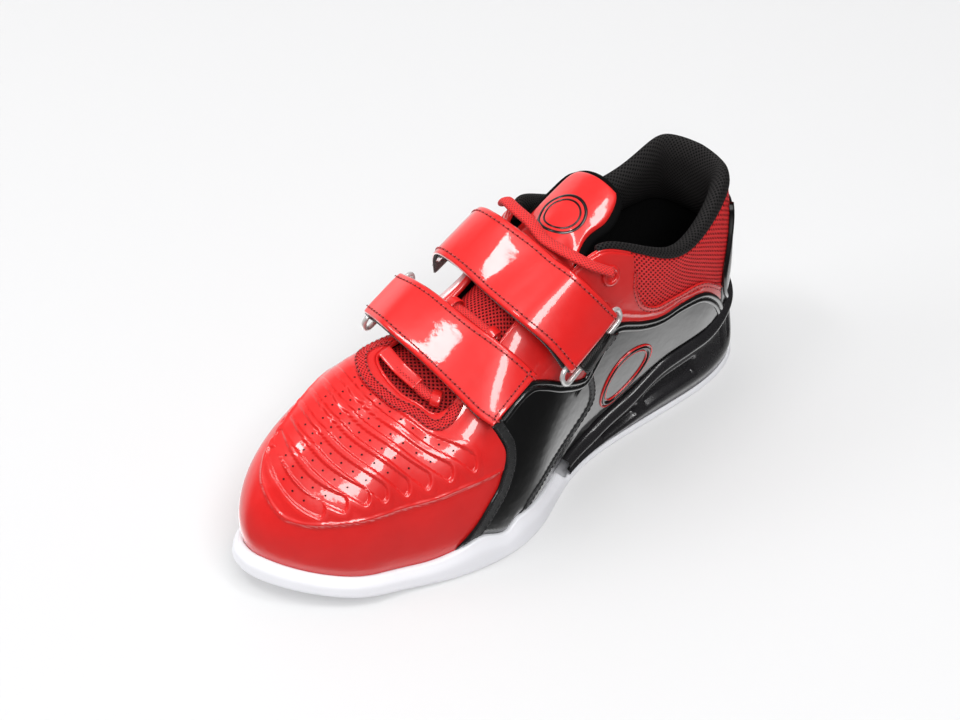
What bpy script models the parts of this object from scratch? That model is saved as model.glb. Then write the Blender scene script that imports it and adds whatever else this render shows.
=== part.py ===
"""Left weightlifting shoe: hollow upper on a cup outsole and a hard heel wedge, two straps with rings."""
import math

import bmesh
import bpy
import numpy as np

# Driving sizes, in metres
LENGTH = 0.292
BALL_HALF_WIDTH = 0.053
COLLAR_HEIGHT = 0.1185
WALL = 0.0022
CLEARANCE = 0.0003
CURVED_CLEARANCE = 0.0005
TOE_SPRING = 0.009
SPRING_START = 0.736
HEEL_BED = 0.0245
FOREFOOT_BED = 0.007
FEATHER_INSET = 0.0065
BASE_THICKNESS = 0.0035
CUP_WALL = 0.0019
CUP_CORNER = 0.0018
CUP_HEIGHT = 0.016
LEDGE_HEIGHT = 0.035
LEDGE_BAND = 0.0065
WEDGE_END = 0.588
WINDOW_DEPTH = 0.0035
INSOLE_THICKNESS = 0.003
PAD_RISE = 0.0125
PAD_THICKNESS = 0.010
TONGUE_THICKNESS = 0.006
PANEL_THICKNESS = 0.001
STRAP_THICKNESS = 0.0017
STRAP_LAYER_GAP = 0.0006
RING_WIRE = 0.0012
RING_DEPTH = 0.0085
RING_OVERHANG = 0.0038
TAB_THICKNESS = 0.0014
TAB_SEAT = 0.0034
LACE_RADIUS = 0.0021
EYELET_RADIUS = 0.0038
EYELET_WIRE = 0.0011
END_TRIM = 0.0004
LEDGE_LIP = 0.001
TUCK_STEP = 0.0012
LEDGE_END_GAP = 0.0016
LEDGE_CORNER = 0.0006
CUTTER_REACH = 0.004
TOE_END_REACH = 0.004
INSOLE_GAP = 0.0012
INSOLE_CORNER = 0.0012
PAD_MIN_CORE = 0.0008
TAB_LAYER_GAP = 0.0006
TONGUE_TOE_TUCK = 0.012
TONGUE_TOE_DROP = 0.006

# Shares that shape the smaller features
LEDGE_BAND_LIMIT = 0.6
LEDGE_INNER_SHARE = 0.4
RING_CORNER_SHARE = 0.42
TAB_HALF_WIDTH_SHARE = 0.29
FOLD_START = 0.72
TONGUE_EDGE_THINNING = 0.55
PAD_HEM_SHARE = 2.6
PAD_BACK_SHARE = 1.2

# Counts of points along the finer curves
SEARCH_STEPS = 400
SHARE_STEPS = 61
STRAP_SAMPLES = 20
STRAP_RETURN = 2
PANEL_ROWS = 8
PANEL_COLUMNS = 25
COUNTER_COLUMNS = 17
EYELET_POINTS = 12
LACE_POINTS = 14

# Stations round the shoe, from the heel along the lateral side to the toe and back on the medial side.
# Percent of LENGTH for along, of BALL_HALF_WIDTH for across and out, of COLLAR_HEIGHT for up and down.
STATION_COLUMNS = ("name", "sole_along", "sole_across", "rim_along", "rim_across", "rim_up",
                   "low_out", "low_up", "high_along", "high_out", "high_down")
STATIONS = (
    ("heel", 0.0, 0.0, 2.9, 0.0, 84.0, 7.5, 21.9, 0.0, 3.8, 25.3),
    ("heel_corner_l", 1.4, 34.0, 3.8, 29.6, 84.4, 7.5, 21.9, 0.0, 5.7, 25.3),
    ("heel_side_l", 5.5, 58.5, 6.5, 47.2, 85.2, 7.5, 21.9, 0.0, 7.5, 25.3),
    ("ankle_rear_l", 13.0, 69.4, 12.3, 60.4, 81.6, 11.3, 20.3, 0.0, 7.5, 21.9),
    ("ankle_low_l", 21.2, 69.1, 21.2, 68.9, 78.9, 9.4, 20.3, 0.0, 1.9, 18.6),
    ("ankle_front_l", 30.1, 66.0, 29.5, 65.1, 88.6, 9.4, 21.9, 0.0, 5.7, 23.6),
    ("collar_front_l", 38.4, 64.5, 37.0, 53.8, 99.2, 9.4, 25.3, 1.0, 17.0, 21.9),
    ("eyestay_top_l", 45.9, 69.4, 41.4, 44.3, 94.9, 9.4, 27.0, 1.7, 22.6, 18.6),
    ("instep_l", 52.7, 83.0, 47.3, 32.1, 85.2, 5.7, 27.0, 2.1, 34.0, 12.7),
    ("waist_l", 58.9, 95.8, 53.4, 27.4, 76.4, 3.8, 25.3, 2.4, 37.7, 9.3),
    ("ball_l", 67.1, 98.9, 61.0, 28.3, 65.4, 3.8, 23.6, 3.1, 39.6, 6.8),
    ("ball_front_l", 76.7, 84.9, 67.5, 23.6, 54.9, 3.8, 22.8, 4.8, 32.1, 3.4),
    ("vamp_l", 84.6, 65.7, 69.5, 9.4, 57.0, 3.8, 21.9, 8.2, 24.5, 1.7),
    ("toe_side_l", 92.5, 42.5, 70.5, -3.8, 59.3, 5.7, 21.9, 11.6, 17.0, 1.7),
    ("toe", 100.0, -19.8, 70.7, -17.0, 61.2, 13.2, 25.3, 15.8, 1.9, 1.7),
    ("toe_side_m", 97.3, -67.9, 70.3, -32.1, 63.3, 22.6, 28.7, 13.7, 30.2, 0.0),
    ("vamp_m", 89.0, -88.7, 69.3, -45.3, 64.6, 17.0, 32.1, 11.0, 34.0, 0.0),
    ("ball_front_m", 80.1, -94.3, 67.0, -50.9, 65.4, 11.3, 32.1, 6.2, 37.7, 1.7),
    ("ball_m", 69.9, -89.2, 61.6, -46.2, 68.8, 9.4, 30.4, 2.7, 34.0, 5.1),
    ("waist_m", 60.3, -73.2, 54.8, -39.6, 75.9, 17.0, 28.7, 2.1, 32.1, 8.4),
    ("instep_m", 52.7, -59.4, 47.6, -38.7, 85.2, 17.0, 27.0, 1.4, 24.5, 15.2),
    ("eyestay_top_m", 45.2, -53.8, 41.4, -44.3, 93.4, 20.8, 27.0, 1.0, 22.6, 18.6),
    ("collar_front_m", 38.4, -53.8, 37.0, -53.8, 96.8, 18.9, 25.3, 0.7, 17.0, 21.9),
    ("ankle_front_m", 30.1, -60.4, 29.5, -62.3, 85.0, 13.2, 21.9, 0.0, 5.7, 23.6),
    ("ankle_low_m", 21.2, -67.9, 21.2, -63.2, 75.5, 9.4, 20.3, 0.0, 1.9, 18.6),
    ("ankle_rear_m", 13.0, -69.8, 12.3, -55.7, 75.9, 11.3, 20.3, 0.0, 7.5, 21.9),
    ("heel_side_m", 5.5, -58.5, 6.5, -45.3, 82.6, 7.5, 21.9, 0.0, 7.5, 25.3),
    ("heel_corner_m", 1.4, -34.0, 3.8, -29.6, 84.0, 7.5, 21.9, 0.0, 5.7, 25.3),
)
COUNT = len(STATIONS)
TOE = [row[0] for row in STATIONS].index("toe")
LENGTH_COLUMNS = ("sole_along", "rim_along", "high_along")
HEIGHT_COLUMNS = ("rim_up", "low_up", "high_down")

# Foot bed and side walls along the shoe: share of LENGTH, share of the named height
BED_ALONG = (0.0, 0.17, 0.31, 0.445, 0.565, 0.685, 1.0)
BED_SHARE = (1.0, 0.97, 0.72, 0.27, 0.08, 0.0, 0.0)
CUP_START = 0.474
CUP_END_RAMP = 0.012
CUP_ALONG = (0.0, 0.486, 0.562, 0.627, 0.658, 0.709, 0.757, 0.805, 0.863, 0.921, 0.969, 1.0)
CUP_SHARE = (0.50, 0.50, 0.75, 0.94, 0.70, 0.98, 0.74, 0.62, 0.68, 0.81, 0.98, 1.16)
LEDGE_ALONG = (0.0, 0.05, 0.12, 0.18, 0.247, 0.318, 0.366, 0.428, 0.49)
LEDGE_SHARE = (1.28, 1.14, 0.97, 0.95, 0.885, 0.63, 0.52, 0.36, 0.27)
WINDOWS = (
    # share of LENGTH at the start and the end of each recess in the wedge's side
    ("front", 0.300, 0.375),
    ("rear", 0.165, 0.280),
)
GROOVES_ALONG = (0.062, 0.088)
GROOVE_WIDTH = 0.0022
# Top and foot of the recesses, as shares of the height under the ledge
WINDOW_SPAN = (0.80, 0.42)
GROOVE_SPAN = (0.95, 0.55)

# Collar padding: row points as shares of its rise above the rim and of its depth inward
PAD_SECTION = (
    # name, up, depth
    ("seam", 0.03, 0.04),
    ("outer_bulge", 0.35, -0.10),
    ("outer_top", 0.82, -0.05),
    ("crown", 1.00, 0.16),
    ("inner_top", 0.90, 0.52),
    ("inner", 0.30, 0.90),
    ("lining", -0.90, 0.98),
    ("lining_low", -1.90, 0.74),
    ("hem", -2.60, 0.42),
)
PAD_INNER_POINTS = ("inner", "lining", "lining_low", "hem")
PAD_STATIONS = (0.0, 2.0, 4.0, 5.3, 5.9, 6.3)
PAD_RISE_SHARE = (1.0, 0.90, 0.58, 0.48, 0.38, 0.28)
PAD_DEPTH_SHARE = (1.0, 0.95, 0.85, 0.62, 0.48, 0.42)

# Tongue: rows over the free part above the throat, percent of LENGTH, BALL_HALF_WIDTH, COLLAR_HEIGHT
TONGUE_FREE = (
    # name, along, centre_across, up, half_width, edge_drop
    ("collar", 36.6, -3.0, 100.6, 34.0, 5.2),
    ("upper", 32.2, -3.0, 104.0, 35.5, 5.6),
    ("top", 28.8, -5.0, 106.4, 31.5, 4.6),
    ("tip", 27.4, -5.5, 107.2, 24.0, 3.4),
)

# Straps: rows across the instep at the front and rear edges of the strap's outer face, percent as above
STRAP_LOWER = (
    # front_along, front_across, front_up, rear_along, rear_across, rear_up
    (65.4, 71.7, 57.8, 54.5, 66.0, 65.8),
    (66.1, 56.6, 60.3, 56.2, 47.2, 73.8),
    (66.3, 35.8, 64.1, 57.2, 28.3, 78.1),
    (66.4, 11.3, 67.9, 57.9, 7.5, 81.0),
    (66.4, -13.2, 70.9, 57.9, -17.0, 82.7),
    (66.4, -37.7, 73.4, 57.5, -41.5, 83.1),
    (66.1, -60.4, 74.7, 57.2, -66.0, 82.3),
    (64.4, -88.0, 70.5, 56.2, -88.0, 78.5),
)
STRAP_UPPER = (
    (39.7, -88.0, 77.6, 48.6, -92.0, 67.5),
    (40.8, -81.1, 89.5, 49.7, -86.8, 77.6),
    (42.5, -64.2, 98.7, 51.4, -71.7, 85.7),
    (43.5, -41.5, 102.1, 52.1, -50.9, 87.8),
    (43.7, -18.9, 101.7, 52.7, -28.3, 87.8),
    (43.5, 5.7, 99.6, 53.1, -7.5, 86.5),
    (43.8, 29.7, 98.0, 53.7, 16.5, 86.1),
    (43.3, 51.9, 95.5, 53.9, 42.4, 84.5),
    (41.5, 68.0, 87.5, 52.4, 66.0, 77.4),
    (38.9, 76.4, 77.0, 50.9, 84.0, 67.7),
)


TAB_ANCHORS = {
    # station and share on the upper where the ring's tab is sewn
    "lower": (19.0, 0.56),
    "upper": (6.25, 0.50),
}


# Curves
def column(name):
    """One column of the stations, in metres."""
    values = np.array([row[STATION_COLUMNS.index(name)] for row in STATIONS]) / 100
    if name in LENGTH_COLUMNS:
        return values * LENGTH
    if name in HEIGHT_COLUMNS:
        return values * COLLAR_HEIGHT
    return values * BALL_HALF_WIDTH


def cubic(p0, p1, p2, p3, f):
    """Catmull-Rom segment from p1 to p2."""
    return 0.5 * (2 * p1 + (p2 - p0) * f + (2 * p0 - 5 * p1 + 4 * p2 - p3) * f ** 2
                  + (3 * p1 - p0 - 3 * p2 + p3) * f ** 3)


def around(name, s):
    """A column at station s, smooth round the closed row."""
    s = np.asarray(s, dtype=float) % COUNT
    i = np.floor(s).astype(int) % COUNT
    values = column(name)
    return cubic(values[i - 1], values[i], values[(i + 1) % COUNT], values[(i + 2) % COUNT], s % 1.0)


def along_table(x, knots, values):
    """Smooth curve through a short open table."""
    knots = np.asarray(knots, dtype=float)
    values = np.asarray(values, dtype=float)
    x = np.clip(np.asarray(x, dtype=float), knots[0], knots[-1])
    step = np.diff(values) / np.diff(knots)
    slope = np.concatenate([[step[0]], (step[1:] + step[:-1]) / 2, [step[-1]]])
    slope[1:-1][step[1:] * step[:-1] <= 0] = 0
    i = np.clip(np.searchsorted(knots, x, side="right") - 1, 0, len(knots) - 2)
    width = knots[i + 1] - knots[i]
    f = (x - knots[i]) / width
    return ((2 * f ** 3 - 3 * f ** 2 + 1) * values[i] + (f ** 3 - 2 * f ** 2 + f) * width * slope[i]
            + (3 * f ** 2 - 2 * f ** 3) * values[i + 1] + (f ** 3 - f ** 2) * width * slope[i + 1])


def through(points, count):
    """Catmull-Rom line through a few points, resampled to count points."""
    points = np.asarray(points, dtype=float)
    padded = np.concatenate([[2 * points[0] - points[1]], points, [2 * points[-1] - points[-2]]])
    places = np.linspace(0, len(points) - 1, count)
    i = np.minimum(np.floor(places).astype(int), len(points) - 2)
    f = (places - i)[:, None]
    return cubic(padded[i], padded[i + 1], padded[i + 2], padded[i + 3], f)


def unit(vectors):
    return vectors / np.linalg.norm(vectors, axis=-1, keepdims=True)


# Sole surfaces
def spring(u):
    """Lift of the sole's bottom toward the toe."""
    start = SPRING_START * LENGTH
    return TOE_SPRING * (np.clip(u - start, 0, None) / (LENGTH - start)) ** 2


def bed(u):
    """Height of the foot bed, which the upper and the insole stand on."""
    share = along_table(u / LENGTH, BED_ALONG, BED_SHARE)
    return FOREFOOT_BED + (HEEL_BED - FOREFOOT_BED) * share + spring(u)


def outward(s):
    """Level direction out of the sole's edge."""
    e = 0.02
    du = around("sole_along", s + e) - around("sole_along", s - e)
    dv = around("sole_across", s + e) - around("sole_across", s - e)
    n = np.hypot(du, dv)
    return np.stack([-dv / n, du / n, 0 * n], -1)


def edge(s, inset, height):
    """Point on the sole's outline moved in by inset, at a height."""
    flat = np.stack([around("sole_along", s), around("sole_across", s), 0 * s], -1)
    points = flat - outward(s) * np.asarray(inset)[..., None]
    points[..., 2] = height
    return points


# The upper's outer face: s round the shoe in stations, t from the feather edge 0 to the rim 1
def upper_face(s, t):
    s, t = np.broadcast_arrays(np.asarray(s, dtype=float), np.asarray(t, dtype=float))
    out = outward(s)
    foot = edge(s, np.full(s.shape, FEATHER_INSET), 0 * s)
    foot[..., 2] = bed(foot[..., 0]) + CLEARANCE
    rim = np.stack([around("rim_along", s), around("rim_across", s), around("rim_up", s)], -1)
    low = foot + out * around("low_out", s)[..., None]
    low[..., 2] += around("low_up", s)
    high = rim + out * around("high_out", s)[..., None]
    high[..., 0] += around("high_along", s)
    high[..., 2] -= around("high_down", s)
    t = t[..., None]
    return foot * (1 - t) ** 3 + 3 * low * t * (1 - t) ** 2 + 3 * high * t ** 2 * (1 - t) + rim * t ** 3


def upper_normal(s, t):
    e = 0.01
    ds = upper_face(s + e, t) - upper_face(s - e, t)
    dt = upper_face(s, t + e) - upper_face(s, t - e)
    return unit(np.cross(dt, ds))


def upper_offset(s, t, depth):
    """Point at a depth inside the upper's outer face; a negative depth is outside it."""
    s, t = np.broadcast_arrays(np.asarray(s, dtype=float), np.asarray(t, dtype=float))
    return upper_face(s, t) - upper_normal(s, t) * np.asarray(depth)[..., None]


def share_at_height(s, height):
    """The share t at which the upper's side reaches a height."""
    shares = np.linspace(0, 0.6, SHARE_STEPS)
    result = []
    for station, level in zip(s, height):
        heights = upper_face(np.full(SHARE_STEPS, station), shares)[:, 2]
        result.append(np.interp(level, heights, shares))
    return np.array(result)


def station_at(u, medial=False):
    """The station whose sole edge lies at u, on the lateral or the medial side."""
    stations = np.linspace(TOE, COUNT, SEARCH_STEPS) if medial else np.linspace(0, TOE, SEARCH_STEPS)
    places = around("sole_along", stations)
    if medial:
        stations, places = stations[::-1], places[::-1]
    return np.interp(u, np.maximum.accumulate(places), stations)


def loop_stations(u):
    """Stations of a closed loop: up the lateral side at the places u, and back on the medial side."""
    return np.concatenate([station_at(u), station_at(u, medial=True)[::-1]])


# Mesh helpers
def world(points):
    """From along, across, up to the frame: toe at -X, lateral side at -Y."""
    points = np.asarray(points, dtype=float)
    return np.stack([LENGTH / 2 - points[..., 0], -points[..., 1], points[..., 2]], -1)


def material(name, colour, roughness, metallic=0.0):
    made = bpy.data.materials.new(name)
    made.use_nodes = True
    shader = made.node_tree.nodes["Principled BSDF"]
    shader.inputs["Base Color"].default_value = (*colour, 1)
    shader.inputs["Roughness"].default_value = roughness
    shader.inputs["Metallic"].default_value = metallic
    return made


def add_mesh(name, points, faces, finish, collection):
    """A closed mesh, its faces turned outward."""
    mesh = bpy.data.meshes.new(name)
    mesh.from_pydata([tuple(p) for p in world(points)], [], [tuple(int(i) for i in f) for f in faces])
    work = bmesh.new()
    work.from_mesh(mesh)
    bmesh.ops.recalc_face_normals(work, faces=work.faces)
    if work.calc_volume(signed=True) < 0:
        bmesh.ops.reverse_faces(work, faces=work.faces)
    work.to_mesh(mesh)
    work.free()
    mesh.shade_smooth()
    mesh.set_sharp_from_angle(angle=math.radians(40))
    mesh.materials.append(finish)
    thing = bpy.data.objects.new(name, mesh)
    collection.objects.link(thing)
    return thing


def ring_faces(rings, count, closed_rows):
    """Quads between rings of count points; closed_rows joins the last ring to the first."""
    faces = []
    for row in range(rings if closed_rows else rings - 1):
        below = row * count
        above = (row + 1) % rings * count
        for i in range(count):
            j = (i + 1) % count
            faces.append((below + i, below + j, above + j, above + i))
    return faces


def bridge_faces(start, count):
    """Quads across a ring whose second half runs back along the first."""
    half = count // 2
    return [(start + i, start + i + 1, start + count - 2 - i, start + count - 1 - i) for i in range(half - 1)]


def stacked_solid(name, rings, finish, collection):
    """A solid of rings, closed across its first and last ring."""
    count = len(rings[0])
    faces = ring_faces(len(rings), count, False)
    faces += bridge_faces(0, count) + bridge_faces((len(rings) - 1) * count, count)
    return add_mesh(name, np.concatenate(rings), faces, finish, collection)


def sheet_solid(name, outer, inner, finish, collection):
    """A solid between two grids of points of the same shape."""
    rows, columns = outer.shape[:2]
    faces = []
    size = rows * columns
    for r in range(rows - 1):
        for c in range(columns - 1):
            a = r * columns + c
            quad = (a, a + 1, a + columns + 1, a + columns)
            faces.append(quad)
            faces.append(tuple(size + i for i in reversed(quad)))
    border = list(range(columns))
    border += [r * columns + columns - 1 for r in range(1, rows)]
    border += [(rows - 1) * columns + c for c in range(columns - 2, -1, -1)]
    border += [r * columns for r in range(rows - 2, 0, -1)]
    for a, b in zip(border, border[1:] + border[:1]):
        faces.append((b, a, size + a, size + b))
    points = np.concatenate([outer.reshape(-1, 3), inner.reshape(-1, 3)])
    return add_mesh(name, points, faces, finish, collection)


def end_spaced(count, start, end):
    """Places from start to end, closer together at both ends."""
    share = (1 - np.cos(np.linspace(0, math.pi, count))) / 2
    return start + (end - start) * share


def half_spaced(count, start, end):
    """Places from start to end, closer together at the start."""
    return start + (end - start) * (1 - np.cos(np.linspace(0, math.pi / 2, count)))


# Pieces
def build_outsole(finish, collection):
    """White cup outsole: a thin base under the wedge, a cup wall round the forefoot."""
    step = WEDGE_END * LENGTH
    cup = CUP_START * LENGTH
    ramp = CUP_END_RAMP * LENGTH
    heel = half_spaced(13, END_TRIM, cup - ramp)
    waist = np.array([cup, cup + ramp, (cup + ramp + step) / 2, step, step + 2 * CLEARANCE])
    toe = LENGTH - half_spaced(21, END_TRIM, LENGTH - step - TOE_END_REACH)[::-1]
    s = loop_stations(np.concatenate([heel, waist, toe]))
    u = around("sole_along", s)
    rise = np.clip((u - cup) / ramp, 0, 1)
    wall_top = along_table(u / LENGTH, CUP_ALONG, CUP_SHARE) * CUP_HEIGHT
    wall_top = BASE_THICKNESS + (wall_top - BASE_THICKNESS) * rise
    base = BASE_THICKNESS + spring(u)
    rings = [
        edge(s, np.full(len(s), CUP_CORNER), spring(u)),
        edge(s, np.zeros(len(s)), spring(u) + CUP_CORNER),
    ]
    top_share = share_at_height(s, np.maximum(wall_top, bed(u) + 2 * CLEARANCE))
    blend = rise[:, None]

    def side(depth, share, plain_inset):
        on_cup = upper_offset(s, top_share * share, np.full(len(s), -depth))
        if share == 1.0:
            on_cup[:, 2] = wall_top
        if share == 0.0:
            on_cup[:, 2] = np.where(u > step + CLEARANCE, bed(on_cup[:, 0]), base)
        return on_cup * blend + edge(s, np.full(len(s), plain_inset), base) * (1 - blend)

    rings.append(side(CURVED_CLEARANCE + CUP_WALL, 1.0, 2 * CLEARANCE))
    rings.append(side(CURVED_CLEARANCE, 1.0, CUP_CORNER))
    rings.append(side(CURVED_CLEARANCE, 0.66, CUP_CORNER * 2))
    rings.append(side(CURVED_CLEARANCE, 0.33, CUP_CORNER * 3))
    rings.append(side(CURVED_CLEARANCE, 0.0, FEATHER_INSET))
    return stacked_solid("outsole", rings, finish, collection)


def wedge_loop():
    """Places along the wedge: full width behind the cup, set in between the cup's walls."""
    cup = CUP_START * LENGTH
    heel = np.append(half_spaced(15, END_TRIM, cup - LEDGE_END_GAP * 2), cup - LEDGE_END_GAP)
    front = np.linspace(cup + 0.0005, WEDGE_END * LENGTH - 5 * CLEARANCE, 9)
    return np.concatenate([heel, front])


def ledge_top(u):
    """Height of the wedge's ledge, which stays above the foot bed."""
    return np.maximum(along_table(u / LENGTH, LEDGE_ALONG, LEDGE_SHARE) * LEDGE_HEIGHT, bed(u) + LEDGE_LIP)


def build_wedge(finish, collection, cutters):
    """Hard heel wedge: flared side, a ledge that cups the upper, and recessed windows."""
    s = loop_stations(wedge_loop())
    u = around("sole_along", s)
    outside = np.where(u < CUP_START * LENGTH, 1.0, 0.0)
    cupping = np.where(u < CUP_START * LENGTH - LEDGE_END_GAP * 1.5, 1.0, 0.0)
    floor = bed(u) - 3 * CLEARANCE
    top = ledge_top(u) * cupping + floor * (1 - cupping)
    under = BASE_THICKNESS + CLEARANCE
    band = np.minimum(LEDGE_BAND, (top - under) * LEDGE_BAND_LIMIT)
    side_rows = (
        # inset, height
        (0.0012, np.full(len(s), under)),
        (0.0004, under + (top - band - under) * 0.2),
        (0.0022, top - band - LEDGE_CORNER),
        (0.0009, top - band + LEDGE_CORNER),
        (0.0014, top - band * 0.35),
        (0.0030, top),
    )
    rings = []
    for inset, height in side_rows:
        set_in = inset * outside + FEATHER_INSET * (1 - outside)
        level = height * outside + (1 - outside) * (under + (floor - under) * (len(rings) / 5.0))
        rings.append(edge(s, set_in, level))
    share = share_at_height(s, top) * cupping
    inner_top = upper_offset(s, share, np.full(len(s), -CURVED_CLEARANCE))
    inner_top[:, 2] = top
    inner_low = upper_offset(s, share * LEDGE_INNER_SHARE, np.full(len(s), -CURVED_CLEARANCE))
    cupped = cupping[:, None]
    for number, lining in enumerate((inner_top, inner_low, None), 1):
        tuck = edge(s, FEATHER_INSET - CURVED_CLEARANCE + number * TUCK_STEP * (1 - outside), floor)
        tuck[:, 2] = bed(tuck[:, 0]) - 2 * CLEARANCE
        rings.append(tuck if lining is None else lining * cupped + tuck * (1 - cupped))
    wedge = stacked_solid("heel_wedge", rings, finish, collection)
    cut_recesses(wedge, cutters)
    return wedge


def cut_recesses(wedge, cutters):
    """Windows under the ledge on both sides, and short grooves near the heel."""
    for medial in (False, True):
        side = "m" if medial else "l"
        for name, start, end in WINDOWS:
            places = np.linspace(start, end, 7) * LENGTH
            add_recess("window_%s_%s" % (name, side), wedge, cutters, places, medial, WINDOW_SPAN)
        for number, place in enumerate(GROOVES_ALONG):
            half = GROOVE_WIDTH / 2
            places = np.linspace(place * LENGTH - half, place * LENGTH + half, 2)
            add_recess("groove_%d_%s" % (number, side), wedge, cutters, places, medial, GROOVE_SPAN)


def add_recess(name, wedge, cutters, places, medial, span):
    """A cutter that follows the wedge's side, between two shares of the height under the ledge."""
    s = station_at(places, medial)
    under = BASE_THICKNESS + CLEARANCE
    top = along_table(places / LENGTH, LEDGE_ALONG, LEDGE_SHARE) * LEDGE_HEIGHT - LEDGE_BAND
    rows = []
    for share in span:
        level = under + (top - under) * share
        outside = edge(s, np.full(len(s), -CUTTER_REACH), level)
        rows.append([outside, edge(s, np.full(len(s), WINDOW_DEPTH), level)])
    outer = np.stack([rows[0][0], rows[1][0]])
    inner = np.stack([rows[0][1], rows[1][1]])
    cutter = sheet_solid(name, outer, inner, bpy.data.materials["cutter"], cutters)
    cutter.hide_render = True
    cutter.display_type = "WIRE"
    cut = wedge.modifiers.new(name, "BOOLEAN")
    cut.operation = "DIFFERENCE"
    cut.solver = "EXACT"
    cut.object = cutter


def build_upper(finish, collection):
    """Hollow upper with its real wall, open at the collar, down the throat and underneath."""
    s = np.arange(COUNT * 3) / 3
    shares = (0.0, 0.06, 0.14, 0.24, 0.36, 0.48, 0.60, 0.71, 0.81, 0.90, 1.0)
    rings = [upper_offset(s, share, np.zeros(len(s))) for share in shares]
    for share in (1.0, 0.90, 0.78, 0.62, 0.42, 0.20, 0.0):
        ring = upper_offset(s, share, np.full(len(s), WALL))
        if share == 0.0:
            ring[:, 2] = bed(ring[:, 0]) + CLEARANCE
        rings.append(ring)
    return add_mesh("upper", np.concatenate(rings), ring_faces(len(rings), len(s), True), finish, collection)


def below_rim(s, drop):
    """The share t at a distance below the rim, measured along the side."""
    e = 0.02
    step = upper_face(s, np.ones(len(s))) - upper_face(s, np.full(len(s), 1 - e))
    speed = np.linalg.norm(step, axis=-1) / e
    return 1 - drop / speed


def build_padding(finish, collection):
    """Padded collar: a roll that sits on the rim and lines the heel."""
    reach = PAD_STATIONS[-1]
    s = np.linspace(-reach, reach, 39)
    rise = along_table(np.abs(s), PAD_STATIONS, PAD_RISE_SHARE) * PAD_RISE
    depth = along_table(np.abs(s), PAD_STATIONS, PAD_DEPTH_SHARE) * PAD_THICKNESS
    ones = np.ones(len(s))
    rim = upper_face(s, ones)
    normal = upper_normal(s, ones)
    rising = unit(rim - upper_face(s, ones * 0.98))
    back = WALL + CURVED_CLEARANCE
    rows = []
    for name, up, inward in PAD_SECTION:
        behind_wall = name in PAD_INNER_POINTS
        thick = np.maximum(inward * depth, back + PAD_MIN_CORE) if behind_wall else inward * depth
        if up > 0:
            lift = np.maximum(up * rise, CLEARANCE)
            rows.append(rim + rising * lift[:, None] - normal * thick[:, None])
        else:
            rows.append(upper_offset(s, below_rim(s, -up * rise), thick))
    rows.append(upper_offset(s, below_rim(s, PAD_HEM_SHARE * rise), ones * back))
    rows.append(upper_offset(s, below_rim(s, PAD_BACK_SHARE * rise), ones * back))
    rows.append(rim + rising * CLEARANCE - normal * back)
    points = np.stack(rows)
    count = len(s)
    faces = []
    for row in range(len(rows)):
        here = row * count
        following = (row + 1) % len(rows) * count
        for i in range(count - 1):
            faces.append((here + i, here + i + 1, following + i + 1, following + i))
    faces.append(tuple(row * count for row in range(len(rows))))
    faces.append(tuple(row * count + count - 1 for row in reversed(range(len(rows)))))
    return add_mesh("collar_padding", points.reshape(-1, 3), faces, finish, collection)


def build_insole(finish, collection):
    """Foot bed that lies inside the upper."""
    inset = FEATHER_INSET + WALL + INSOLE_GAP
    s = loop_stations(end_spaced(42, END_TRIM, LENGTH - END_TRIM))
    rings = []
    profile = ((CURVED_CLEARANCE, 0.0), (INSOLE_THICKNESS * 0.6, 0.0), (INSOLE_THICKNESS, INSOLE_CORNER))
    for level, more in profile:
        ring = edge(s, np.full(len(s), inset + more), 0 * s)
        ring[:, 2] = bed(ring[:, 0]) + level
        rings.append(ring)
    return stacked_solid("insole", rings, finish, collection)


# Throat rows that carry the tongue
THROAT_ROWS = (
    # lateral station, medial station, lift of the middle in percent of COLLAR_HEIGHT, share at the edge
    (11.4, 16.6, 0.0, 0.90),
    (10.6, 17.4, 1.69, 0.90),
    (9.8, 18.2, 4.64, 0.90),
    (9.0, 19.0, 6.33, 0.91),
    (8.2, 19.8, 7.60, 0.92),
    (7.4, 20.6, 8.86, 0.94),
)
THROAT_UPPER_SHARE = 0.98
# Places across the tongue's middle, and the share of the lift there
TONGUE_CROWN = ((0.22, 0.78), (0.5, 1.0), (0.78, 0.78))


def tongue_face(count):
    """The tongue's outer face: rows from the toe end to the tip, columns from medial to lateral."""
    clear = WALL + 8 * CLEARANCE
    rows = []
    for lateral, medial, lift, low in THROAT_ROWS:
        stations = np.array([medial, medial, lateral, lateral])
        shares = np.array([low, THROAT_UPPER_SHARE, THROAT_UPPER_SHARE, low])
        points = upper_offset(stations, shares, np.full(4, clear))
        rise = lift / 100 * COLLAR_HEIGHT
        crown = [points[1] * (1 - f) + points[2] * f + np.array([0, 0, rise * share])
                 for f, share in TONGUE_CROWN]
        rows.append(through([points[0], points[1], *crown, points[2], points[3]], count))
    toe_end = rows[0] + np.array([TONGUE_TOE_TUCK, 0, -TONGUE_TOE_DROP])
    rows.insert(0, toe_end)
    for _, place, centre, height, half, drop in TONGUE_FREE:
        across = np.linspace(-1, 1, count)
        rows.append(np.stack([
            np.full(count, place / 100 * LENGTH),
            (centre + half * across) / 100 * BALL_HALF_WIDTH,
            (height - drop * across ** 2) / 100 * COLLAR_HEIGHT,
        ], -1))
    return np.stack(rows)


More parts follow.
